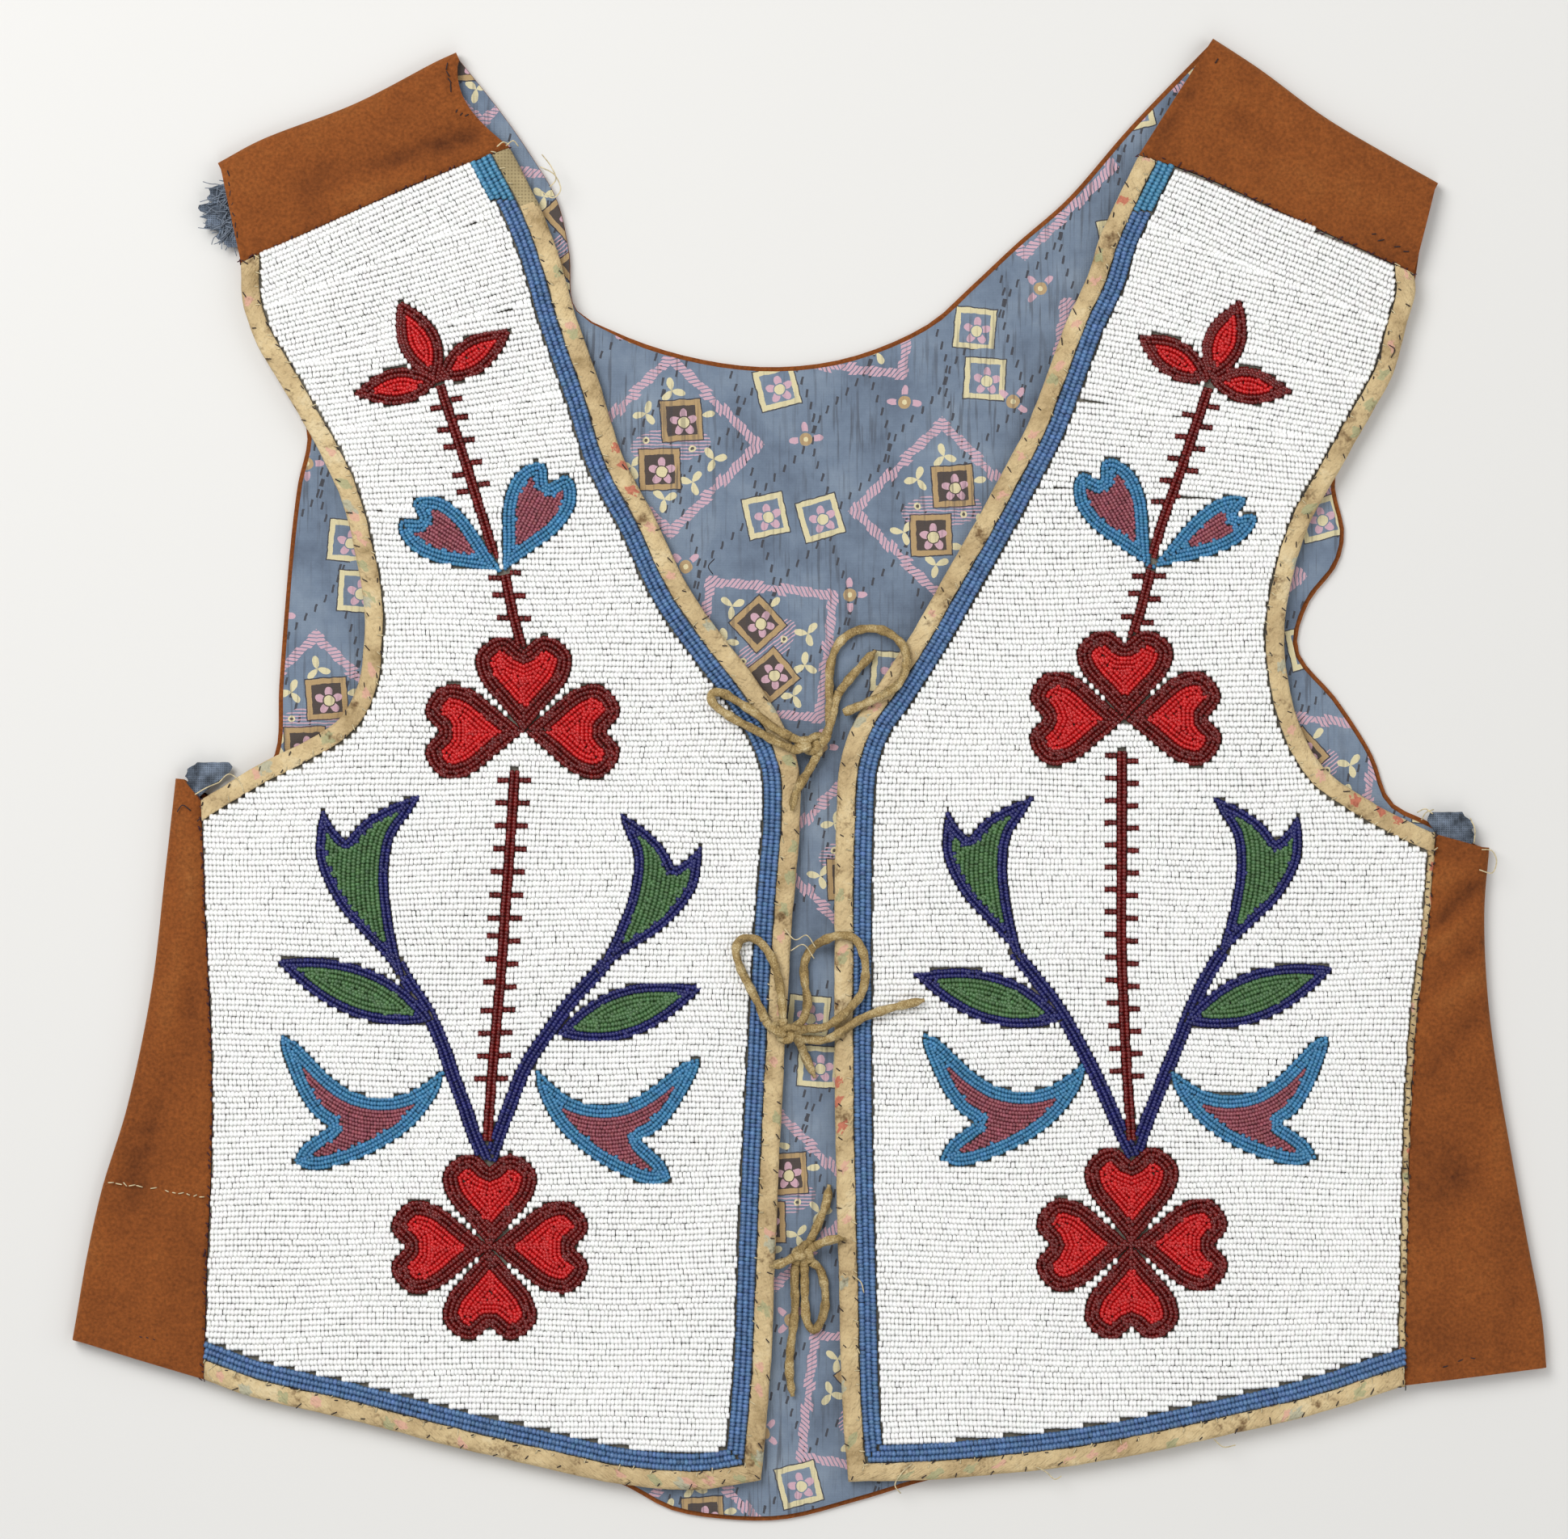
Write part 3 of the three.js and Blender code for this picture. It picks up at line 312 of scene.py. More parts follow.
def cottonThread(name, hexColour):
    # spun cotton sewing thread, matte
    material, tree, shader = newMaterial(name, {"Roughness": 0.9})
    where = addNode(tree, "TexCoord").outputs["Object"]
    noise = addNode(tree, "TexNoise", None, {"Vector": where, "Scale": 900, "Detail": 3})
    colour = linear(hexColour)
    tone = addNode(
        tree,
        "ValToRGB",
        {"stops": [(0.35, tuple(0.6 * c for c in colour[:3]) + (1,)), (0.65, colour)]},
        {"Fac": noise},
    )
    tree.links.new(tone.outputs[0], shader.inputs["Base Color"])
    return material


def palePaper():
    # matte background paper
    material, tree, shader = newMaterial("palePaper", {"Base Color": linear("#D9D8D5"), "Roughness": 0.95})
    return material


# lines, grids and pieces


def smoothLine(rows, step=1.0):
    p = np.array(rows, float)
    p = np.vstack([2 * p[0] - p[1], p, 2 * p[-1] - p[-2]])
    parts = []
    for a, b, c, d in zip(p, p[1:], p[2:], p[3:]):
        ta, tb, tc = [math.sqrt(np.linalg.norm(e)) for e in (b - a, c - b, d - c)]
        leaving = tb * ((b - a) / ta - (c - a) / (ta + tb) + (c - b) / tb)
        arriving = tb * ((c - b) / tb - (d - b) / (tb + tc) + (d - c) / tc)
        t = np.linspace(0, 1, max(2, round(np.linalg.norm(c - b) / step)), endpoint=False)[:, None]
        curve = (2 * t**3 - 3 * t**2 + 1) * b + (t**3 - 2 * t**2 + t) * leaving
        parts.append(curve + (3 * t**2 - 2 * t**3) * c + (t**3 - t**2) * arriving)
    return np.vstack([*parts, p[-2:-1]])


def lengthsOn(line):
    return np.concatenate([[0], np.cumsum(np.linalg.norm(np.diff(line, axis=0), axis=1))])


def evenPlaces(line, count):
    lengths = lengthsOn(line)
    wanted = np.linspace(0, lengths[-1], count + 1)
    return np.stack([np.interp(wanted, lengths, line[:, k]) for k in range(line.shape[1])], 1)


def toTheRight(line):  # unit steps to the right of a line's own direction
    along = np.gradient(line, axis=0)
    along /= np.linalg.norm(along, axis=1, keepdims=True)
    return np.stack([along[:, 1], -along[:, 0]], 1)


def inset(line, distance):
    return line + toTheRight(line) * distance


def extended(line, reach):
    start = line[0] + (line[0] - line[1]) / np.linalg.norm(line[0] - line[1]) * reach
    end = line[-1] + (line[-1] - line[-2]) / np.linalg.norm(line[-1] - line[-2]) * reach
    return np.vstack([start, line, end])


def crossing(first, second):
    a, b = np.diff(first, axis=0)[:, None], np.diff(second, axis=0)[None]
    gap = second[None, :-1] - first[:-1, None]
    turn = a[..., 0] * b[..., 1] - a[..., 1] * b[..., 0]
    turn = np.where(np.abs(turn) < 1e-12, 1e-12, turn)
    onFirst = (gap[..., 0] * b[..., 1] - gap[..., 1] * b[..., 0]) / turn
    onSecond = (gap[..., 0] * a[..., 1] - gap[..., 1] * a[..., 0]) / turn
    meets = (onFirst >= 0) & (onFirst <= 1) & (onSecond >= 0) & (onSecond <= 1)
    i, j = np.argwhere(meets)[0]
    return i + onFirst[i, j], j + onSecond[i, j]


def stretch(line, start, end):
    index = np.arange(len(line))
    wanted = np.concatenate([[start], index[(index > start + 1e-6) & (index < end - 1e-6)], [end]])
    return np.stack([np.interp(wanted, index, line[:, k]) for k in range(2)], 1)


def trimmedLoop(edges, distances):  # a closed outline's edges, each moved in by its own distance
    moved = [extended(inset(edge, d), 14) for edge, d in zip(edges, distances)]
    corners = [crossing(edge, moved[(k + 1) % len(moved)]) for k, edge in enumerate(moved)]
    return [stretch(edge, corners[k - 1][1], corners[k][0]) for k, edge in enumerate(moved)]


def splitWhere(line, test):
    k = int(np.argmax(test(line)))
    return line[: k + 1], line[k:]


def patch(bottom, top, left, right):  # places inside four edges, rows from bottom to top
    v = np.linspace(0, 1, len(left))[:, None, None]
    u = np.linspace(0, 1, len(bottom))[None, :, None]
    across = left[:, None] * (1 - u) + right[:, None] * u
    upward = bottom[None] * (1 - v) + top[None] * v
    low = bottom[0] * (1 - u) + bottom[-1] * u
    high = top[0] * (1 - u) + top[-1] * u
    return across + upward - low * (1 - v) - high * v


def relaxed(grid, rounds=200):
    # inner places moved along a smooth map, so that no cell folds over at a hollow edge
    grid = grid.copy()
    for _ in range(rounds):
        u, v = (grid[1:-1, 2:] - grid[1:-1, :-2]) / 2, (grid[2:, 1:-1] - grid[:-2, 1:-1]) / 2
        a, b, c = [(p * q).sum(2)[..., None] for p, q in ((v, v), (u, v), (u, u))]
        skew = (grid[2:, 2:] - grid[2:, :-2] - grid[:-2, 2:] + grid[:-2, :-2]) / 2
        beside, along = grid[1:-1, 2:] + grid[1:-1, :-2], grid[2:, 1:-1] + grid[:-2, 1:-1]
        grid[1:-1, 1:-1] = (a * beside + c * along - b * skew) / (2 * (a + c))
    return grid


def lifted(grid, height):
    return np.concatenate([grid, np.broadcast_to(height, grid.shape[:2])[..., None]], 2)


def insideOf(points, outline):
    inside = np.zeros(len(points), bool)
    for a, b in zip(outline, np.roll(outline, -1, 0)):
        if a[1] == b[1]:
            continue
        level = (a[1] > points[:, 1]) != (b[1] > points[:, 1])
        inside ^= level & (points[:, 0] < (b[0] - a[0]) * (points[:, 1] - a[1]) / (b[1] - a[1]) + a[0])
    return inside


def distanceTo(points, line):
    nearest = np.full(len(points), 1e9)
    for start in range(0, len(line), 40):
        gaps = points[:, None] - line[None, start : start + 40]
        nearest = np.minimum(nearest, (gaps**2).sum(2).min(1))
    return np.sqrt(nearest)


def ripple(distance, waves, seed):  # a sum of waves, each (length, height), with phases of its own
    phases = np.random.default_rng(seed).uniform(0, 2 * math.pi, len(waves))
    return sum(h * np.sin(2 * math.pi * distance / w + p) for (w, h), p in zip(waves, phases))


def addGrid(bm, grid, strip=None):
    # a bmesh grid moved to the given places, strip is its cloth's own (along, across)
    rows, columns = grid.shape[:2]
    layer = bm.verts.layers.float_vector.get("strip") or bm.verts.layers.float_vector.new("strip")
    made = bmesh.ops.create_grid(bm, x_segments=columns - 1, y_segments=rows - 1, size=1)["verts"]
    for vert in made:
        i = round((vert.co.y + 1) / 2 * (rows - 1))
        j = round((vert.co.x + 1) / 2 * (columns - 1))
        vert.co = grid[i, j] * metre
        if strip is not None:
            vert[layer] = (*strip[i, j], 0)
    return made


def addTube(bm, path, radius, sides=8, flat=1.0, twist=0.0):  # radius in mm, one value or one a station
    path = np.asarray(path, float)
    along = np.gradient(path, axis=0)
    along /= np.linalg.norm(along, axis=1, keepdims=True)
    side = np.cross(along, [0, 0, 1.0])
    side /= np.maximum(np.linalg.norm(side, axis=1, keepdims=True), 1e-9)
    over = np.cross(side, along)
    radius = np.broadcast_to(radius, len(path))
    distance = lengthsOn(path)
    turn = np.linspace(0, 2 * math.pi, sides + 1)
    grid = np.zeros((len(path), sides + 1, 3))
    strip = np.zeros((len(path), sides + 1, 2))
    for k in range(sides + 1):
        angle = turn[k] + twist * np.sin(distance / 9)
        wide, high = np.cos(angle) * radius, np.sin(angle) * radius * flat
        grid[:, k] = path + side * wide[:, None] + over * high[:, None]
        strip[:, k] = np.stack([distance, np.full(len(path), turn[k])], 1)
    made = addGrid(bm, grid, strip)
    bmesh.ops.remove_doubles(bm, verts=made, dist=1e-6)
    ends = [e for e in bm.edges if e.is_boundary]
    bmesh.ops.holes_fill(bm, edges=ends, sides=0)


def pieceOf(mesh, material):
    piece = bpy.data.objects.new(mesh.name, mesh)
    bpy.context.scene.collection.objects.link(piece)
    mesh.materials.append(material)
    return piece


def toPiece(bm, name, material, smooth=True):
    bmesh.ops.recalc_face_normals(bm, faces=bm.faces)
    mesh = bpy.data.meshes.new(name)
    bm.to_mesh(mesh)
    bm.free()
    mesh.polygons.foreach_set("use_smooth", [smooth] * len(mesh.polygons))
    return pieceOf(mesh, material)


def thicken(piece, thickness, rounding):
    wall = piece.modifiers.new("wall", "SOLIDIFY")
    wall.thickness = thickness * metre
    wall.offset = 0
    wall.use_even_offset = True
    edge = piece.modifiers.new("edge", "BEVEL")
    edge.width = rounding * metre
    edge.segments = 2
    edge.limit_method = "ANGLE"
    edge.angle_limit = math.radians(50)


def place(piece, slot, *nodes):
    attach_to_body(piece, "root")
    if nodes:
        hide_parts(*nodes)
    return piece


# ties: three tanned thongs, each a knot with its loops and free ends

tie = {
    "diameter": 2.5,
    "fullness": 1.12,
    "step": 0.8,
    "sides": 10,
    "flat": 0.8,
    "twist": 0.8,
    "uneven": [(3.7, 0.06), (7.9, 0.08), (13, 0.06)],
    "taper": 2.2,
}

# each run from where it leaves its knot or edge to its end: (x, y, height)
thongs = {
    "upper_tie_left_loop": [
        (-5.9, 10, 8.25), (-10.5, 12.1, 8.45), (-17.2, 15.8, 8.75), (-25, 20, 8.75),
        (-31, 24.6, 8.75), (-31.6, 27.6, 8.75), (-28.6, 28, 8.75), (-23, 25, 8.75), (-17, 21, 8.75),
        (-11.6, 16.8, 8.75), (-6.2, 13.8, 8.25),
    ],
    "upper_tie_right_loop": [
        (5.9, 14.6, 6.15), (6.5, 20, 4.65), (6.4, 29, 4.05), (6.9, 37.5, 4.05), (9.6, 44, 4.05),
        (14.8, 47.8, 4.05), (20.6, 48.6, 4.65), (26, 46.8, 7.95), (30, 43, 8.15), (31.2, 38, 8.45),
        (29.2, 31.5, 8.45), (24, 27.4, 8.35), (17.6, 24.4, 8.15), (11.2, 21.6, 5.25),
    ],
    "upper_tie_tail": [
        (2.6, 8, 5.85), (0.4, 4, 4.95), (-2.4, -0.6, 7.75), (-4.6, -4.4, 8.15), (-5.6, -10, 8.15),
    ],
    "upper_tie_inner_end": [(9.6, 28.2, 4.05), (13.4, 33, 4.05), (17.6, 37.6, 4.05), (21.4, 41.6, 4.05)],
    "middle_tie_left_loop": [
        (-14.2, -77.4, 8.95), (-16, -73, 8.75), (-19.2, -66.6, 8.75), (-22.4, -60, 8.75),
        (-23.6, -54.4, 8.75), (-21.6, -51.2, 8.75), (-17.4, -51.2, 8.75), (-13.8, -54.6, 8.75),
        (-11.2, -59.6, 8.55), (-9.6, -66, 8.15), (-8.8, -72.6, 8.55), (-8.6, -77, 9.55),
    ],
    "middle_tie_right_loop": [
        (-0.9, -80, 8.75), (4.6, -79.6, 8.45), (9.6, -76.6, 8.75), (13.8, -72.6, 8.55),
        (16.8, -68.6, 8.75), (18, -62, 8.75), (17.2, -55.6, 8.75), (14.4, -51, 8.65),
        (9.8, -50, 8.25), (4.8, -51.6, 7.55), (0.6, -54.6, 4.35), (-1.6, -59, 4.05),
        (-1.4, -66, 4.05), (-0.6, -71.6, 4.65), (-1.4, -75.6, 6.65),
    ],
    "middle_tie_long_end": [
        (-0.2, -83.6, 6.05), (4.4, -83.8, 6.65), (8.4, -82.2, 8.45), (12, -79.8, 8.35),
        (17, -76.6, 8.75), (24, -74, 8.75), (31, -72.2, 8.75), (37, -70.8, 8.75),
    ],
    "middle_tie_short_end": [(-2.8, -85.4, 6.05), (-1.4, -89, 4.45), (0.2, -92.6, 4.05), (1.8, -96, 4.05)],
    "lower_tie_upper_run": [(0.2, -148.6, 5.25), (3, -142.6, 4.25), (5.4, -136.4, 4.05), (6.4, -130.4, 4.05)],
    "lower_tie_right_run": [
        (1.8, -150, 6.65), (5.2, -148.4, 7.75), (8.6, -147.6, 8.25), (11.6, -147.6, 8.15),
    ],
    "lower_tie_left_run": [(-5.2, -153.6, 6.65), (-8, -155, 7.65), (-10.8, -156, 7.95), (-13, -156.4, 8.15)],
    "lower_tie_loop": [
        (0.6, -155.2, 5.45), (3.2, -157.4, 4.45), (4.9, -163.4, 4.05), (5, -169.6, 4.05),
        (3.6, -174.6, 4.05), (1.4, -177.4, 4.05), (-0.6, -175, 4.05), (-1.4, -169, 4.05),
        (-1.5, -162.6, 4.05), (-1.6, -156.6, 5.05),
    ],
    "lower_tie_free_end": [
        (-4.6, -156, 5.25), (-4.8, -162, 4.05), (-4.6, -168.6, 4.05), (-5.2, -176, 4.05),
        (-6.2, -184, 4.05), (-6.4, -191.6, 4.05), (-5.4, -198.6, 4.05),
    ],
}

# runs that are cords of their own: where each ends, and how it lies
tieCords = {
    "upper_tie_left_loop": ("object", "loose"),
    "upper_tie_right_loop": ("object", "loose"),
    "middle_tie_left_loop": ("object", "loose"),
    "middle_tie_right_loop": ("object", "loose"),
    "middle_tie_long_end": ("bare", "loose"),
    "lower_tie_loop": ("object", "loose"),
    "lower_tie_free_end": ("bare", "loose"),
}

# knots: middle, half width of the turns, turn in the plane, the short runs made with each, and the leads
# that join the knot's turns to the loops and ends that leave it
tieKnots = {
    "upper_tie_knot": {
        "middle": (0.4, 11.6, 6.0), "size": (4.4, 2.7, 1.5), "turn": 18,
        "runs": ["upper_tie_tail", "upper_tie_inner_end"],
        "leads": [
            [(-5.9, 10, 8.25), (-4, 9.4, 7.9), (-2, 10.2, 7.2), (0.4, 11.2, 6.4)],
            [(-6.2, 13.8, 8.25), (-4.4, 13, 7.8), (-2.4, 12.4, 7.2), (0, 12.2, 6.4)],
            [(5.9, 14.6, 6.15), (5, 12.6, 6.5), (3.6, 11.4, 6.6), (1.6, 11, 6.4)],
            [(2.6, 8, 5.85), (3, 9.2, 6.1), (2.4, 10.6, 6.4)],
            [
                (9.6, 28.2, 4.05), (8.9, 26.6, 4.1), (8.4, 24.6, 4.4), (7.2, 20, 5.2), (5.6, 15, 6),
                (3.6, 12.4, 6.4),
            ],
        ],
    },
    "middle_tie_knot": {
        "middle": (-7.6, -81, 9.6), "size": (4.8, 2.8, 1.4), "turn": -10, "runs": ["middle_tie_short_end"],
        "leads": [
            [(-14.2, -77.4, 8.95), (-13, -79, 9.2), (-11, -80.4, 9.5), (-8, -81, 9.6)],
            [(-8.6, -77, 9.55), (-8.4, -78.6, 9.8), (-7.8, -80.6, 9.7)],
            [(-0.9, -80, 8.75), (-2.6, -80.4, 9.1), (-4.6, -80.6, 9.4), (-7, -81, 9.6)],
            [(-0.2, -83.6, 6.05), (-2, -83.4, 7), (-4, -82.6, 8.4), (-6, -81.6, 9.2)],
            [(-1.4, -75.6, 6.65), (-2.4, -77.6, 8), (-4.4, -79.4, 9.2), (-6.4, -80.6, 9.5)],
            [(-2.8, -85.4, 6.05), (-3.8, -83.8, 7.4), (-5, -82.4, 8.8), (-6.6, -81.4, 9.4)],
        ],
    },
    "lower_tie_knot": {
        "middle": (-1.9, -152, 5.6), "size": (3.0, 2.6, 1.4), "turn": 40,
        "runs": ["lower_tie_upper_run", "lower_tie_right_run", "lower_tie_left_run"],
        "leads": [
            [(0.6, -155.2, 5.45), (-0.2, -153.8, 5.6), (-1.2, -152.4, 5.7)],
            [(-1.6, -156.6, 5.05), (-1.9, -154.8, 5.4), (-2, -152.6, 5.6)],
            [(-4.6, -156, 5.25), (-4, -154.4, 5.4), (-2.6, -152.6, 5.6)],
            [(0.2, -148.6, 5.25), (-0.6, -150.2, 5.5), (-1.6, -151.6, 5.7)],
            [(1.8, -150, 6.65), (0.4, -150.8, 6.2), (-1.2, -151.8, 5.8)],
            [(-5.2, -153.6, 6.65), (-3.8, -153, 6.2), (-2.4, -152.2, 5.8)],
        ],
    },
}


def thongAlong(bm, rows, taperEnd):
    path = smoothLine(rows)
    path = evenPlaces(path, max(8, round(lengthsOn(path)[-1] / tie["step"])))
    distance = lengthsOn(path)
    radius = tie["diameter"] / 2 * tie["fullness"] * (1 + ripple(distance, tie["uneven"], len(rows)))
    if taperEnd:
        radius = radius * np.clip((distance[-1] - distance) / tie["taper"], 0.45, 1)
    addTube(bm, path, radius, tie["sides"], tie["flat"], tie["twist"])
    return path


def makeTies(material):
    for name, (farEnd, lay) in tieCords.items():
        bm = bmesh.new()
        path = thongAlong(bm, thongs[name], farEnd == "bare")
        piece = place(toPiece(bm, name + "_thong", material), "thong", name)
        lengthsOn(path)[-1] * metre
    for name, knot in tieKnots.items():
        bm = bmesh.new()
        t = np.linspace(0, 2 * math.pi, 91)
        loop = np.stack(
            [(np.sin(t) + 2 * np.sin(2 * t)) / 3, (np.cos(t) - 2 * np.cos(2 * t)) / 3, -np.sin(3 * t)], 1
        )
        c, s = math.cos(math.radians(knot["turn"])), math.sin(math.radians(knot["turn"]))
        loop = loop * knot["size"] @ np.array([[c, s, 0], [-s, c, 0], [0, 0, 1]]) + knot["middle"]
        addTube(bm, loop, tie["diameter"] / 2 * 0.95, tie["sides"], 0.85, 0.4)
        for run in knot["runs"]:
            thongAlong(bm, thongs[run], True)
        for lead in knot["leads"]:
            thongAlong(bm, lead, False)
        place(toPiece(bm, name + "_thong", material), "thong", name, *knot["runs"])


makeTies(tannedThong())
print("ties made")

# outlines

# each front's edges in (distance out from the middle, distance up), clockwise
fronts = {
    "left": {
        "side": -1,
        "shoulder": [(96.5, 203.5), (125, 192.5), (151, 181), (183, 166.5)],
        "armhole": [
            (183, 166.5), (182.5, 154), (178.5, 141.5), (169.5, 126), (157.5, 105), (150.5, 89.5),
            (146.5, 74), (143.5, 57), (143.5, 43), (145.5, 30), (151.5, 19.5), (164, 11.5), (177, 5),
            (196, -6.5),
        ],
        "seam": [(196, -6.5), (194.5, -45), (192.5, -90), (192.5, -120), (194, -157.5), (195, -193)],
        "hem": [
            (195, -193), (180, -198.5), (148, -206), (115.5, -214.5), (83.5, -222), (59.5, -227),
            (35, -228.5), (15.5, -225.5),
        ],
        "neck": [
            (15.5, -225.5), (12.5, -191), (11, -155), (9.5, -118.5), (8.5, -99), (7.5, -79.5),
            (6.5, -62.5), (5.5, -45.5), (4.2, -30), (3, -14.5), (3.5, 4), (8.5, 18), (18.5, 34),
            (27, 45), (39.5, 63), (50, 85), (60, 104), (67, 126), (75.5, 150.5), (80.5, 168),
            (86.5, 184), (96.5, 203.5),
        ],
    },
    "right": {
        "side": 1,
        "shoulder": [(106, 201), (124.5, 195), (155.5, 181), (194.5, 163)],
        "armhole": [
            (194.5, 163), (195, 157), (192, 145.5), (188, 131), (180.5, 117), (170, 98.5),
            (162, 84.5), (156.5, 69), (153, 50.5), (154, 32.5), (158, 17), (166, 3.5), (181.5, -7.5),
            (201.5, -17.5),
        ],
        "seam": [
            (201.5, -17.5), (199.5, -45), (195.5, -77), (193.5, -109.5), (192.5, -150),
            (191.5, -195),
        ],
        "hem": [
            (191.5, -195), (165.5, -203.5), (136.5, -210.5), (104.5, -217.5), (80, -221.5),
            (56, -224), (36, -225.5), (12.5, -226),
        ],
        "neck": [
            (12.5, -226), (10.5, -201.5), (9.5, -165), (9, -145.5), (8.5, -126), (8, -87), (8, -66),
            (8, -45.5), (8.5, -14.5), (10, 6), (15, 20), (22.5, 31), (32.5, 46.5), (42, 63),
            (54.5, 85), (64, 102.5), (70, 114), (76.5, 130.5), (83.5, 149.5), (89.5, 162), (94, 176),
            (106, 201),
        ],
    },
}

# the back: where its velvet turns over at the sides and shoulders, and its cut edges
back = {
    "left": {
        "side": -1,
        "strapStart": 95,
        "fold": [
            (237.5, -180.5), (236, -172), (233, -154.5), (228, -132), (220, -106), (212, -67.5),
            (207.5, -29), (204, 2),
        ],
        "armhole": [
            (204, 2), (193, -5.5), (180, -1.5), (172.5, 8), (171, 30), (169.5, 50.5), (167, 79),
            (165, 95), (162, 112), (169, 126), (177.5, 141.5), (182, 157), (185, 178), (190, 199),
        ],
        "shoulder": [(190, 199), (177, 206), (146, 218), (120, 231.5), (114.5, 234)],
    },
    "right": {
        "side": 1,
        "strapStart": 97.5,
        "fold": [
            (237.5, -189.5), (236, -173.5), (231.5, -149.5), (226.5, -122.5), (222, -96.5),
            (218.5, -69), (217.5, -42), (219, -23),
        ],
        "armhole": [
            (219, -23), (210, -18.5), (198.5, -13), (187.5, -7), (181.5, 8), (170, 26), (157.5, 42),
            (161, 57), (170, 69), (172.5, 79), (169.5, 97.5), (179, 117), (187, 131), (191, 145.5),
            (194.5, 157), (198, 178), (202, 192.5),
        ],
        "shoulder": [(202, 192.5), (187, 201), (166, 213.5), (145, 229), (130.5, 238.5)],
    },
    "neck": [
        (-114.5, 234), (-99, 214.5), (-89, 200), (-81.5, 187), (-77.5, 170), (-75.5, 152),
        (-63, 144.5), (-39.5, 136.5), (-13.5, 133), (12.5, 136), (38.5, 147), (51.5, 158.5),
        (67, 173), (83, 187), (103.5, 210.5), (130.5, 238.5),
    ],
    "hem": [
        (-237.5, -180.5), (-202.5, -186.5), (-148, -201), (-99, -214), (-61, -227),
        (-44.5, -235.5), (-26.5, -238.5), (-8, -238.5), (16, -232.5), (40, -225.5),
        (104.5, -213.5), (165.5, -200), (202.5, -191.5), (223.5, -190), (237.5, -189.5),
    ],
    "strapStartsOnNeck": (-75.5, 51.5),
}

bands = {
    "binding": 6.0, "border": 6.3, "field": 12.1, "fieldAtArmhole": 6.3, "clothSetback": 1.6, "seamGap": 0.3
}

# soft hollows and swells of the fronts: (out, up, reach across, reach along, rise)
frontFolds = {
    "left": [
        (100, -80, 42, 62, -1.1), (108, 75, 22, 45, -0.9), (150, -135, 18, 26, 0.5), (60, -20, 20, 26, 0.45)
    ],
    "right": [
        (102, -70, 42, 66, -1.1), (118, 70, 22, 45, -0.9), (70, -150, 22, 24, 0.5), (150, -40, 18, 24, 0.4)
    ],
}

edgeNames = ["shoulder", "armhole", "seam", "hem", "neck"]


def frontLoop(side, atArmhole, atEdge, atSeam=bands["seamGap"]):
    edges = [smoothLine(fronts[side][name]) for name in edgeNames]
    return trimmedLoop(edges, [bands["seamGap"], atArmhole, atSeam, atEdge, atEdge])


def toFrame(side, places):  # from (out, up) to x and y
    return places * np.array([fronts[side]["side"], 1])


def frontOutline(side, *distances):
    return toFrame(side, np.vstack(frontLoop(side, *distances)))


def rise(side, places):  # how far a front's cloth rises or sinks at places given in x and y
    out, up = places[..., 0] * fronts[side]["side"], places[..., 1]
    return sum(
        high * np.exp(-(((out - o) / across) ** 2) - ((up - u) / along) ** 2)
        for o, u, across, along, high in frontFolds[side]
    )


# the back: velvet outside, printed lining inside

backGrid = {"side": 84, "armhole": 34, "strap": 30, "strapAcross": 34, "neck": 22}
turnover = {"radius": 2.05, "steps": 6, "sideSteps": 20, "shoulderSteps": 18}

# folds of the velvet where it lies over the fronts' side: (x, y, turn, reach along, reach across, rise)
velvetFolds = [
    (-130, 201, 17, 24, 4.5, -1.5),
    (-134, 193, 19, 30, 3.5, 0.9),
    (-112, 206, 12, 9, 4, -1.0),
    (-150, 214, 30, 24, 5, 1.0),
    (-176, 192, 40, 10, 8, 0.7),
    (118, 214, 62, 18, 4.5, -1.3),
    (129, 219, 60, 22, 5, 0.9),
    (150, 205, -26, 26, 4.5, -0.9),
    (172, 192, -24, 20, 6, 0.8),
    (208, -30, 12, 12, 4, 1.3),
    (207.5, -41, 50, 13, 3.2, -2.0),
    (205, -49.5, 38, 13, 3.0, 1.5),
    (209, -59, 40, 14, 3.4, -1.4),
    (208, -69, 42, 16, 4, 1.2),
    (211, -82, 46, 18, 4, -1.0),
    (208, -96, 55, 20, 5, 0.9),
    (214, -118, 70, 22, 5, -0.6),
    (215, -150, 80, 26, 8, 0.9),
    (226, -168, 84, 18, 5, -0.7),
    (-200, -30, 96, 24, 3.4, 0.9),
    (-199, -72, 82, 26, 4, -0.9),
    (-208, -78, 76, 26, 4.5, 0.9),
    (-212, -112, 74, 22, 5, -0.8),
    (-208, -150, 84, 26, 6, 0.9),
    (-226, -160, 76, 22, 5, -0.7),
]


def creased(places, folds):  # how far the folds lift the cloth
    height = np.zeros(places.shape[:-1])
    for x, y, turn, along, across, high in folds:
        c, s = math.cos(math.radians(turn)), math.sin(math.radians(turn))
        dx, dy = places[..., 0] - x, places[..., 1] - y
        height += high * np.exp(-(((dx * c + dy * s) / along) ** 2) - ((dy * c - dx * s) / across) ** 2)
    return height


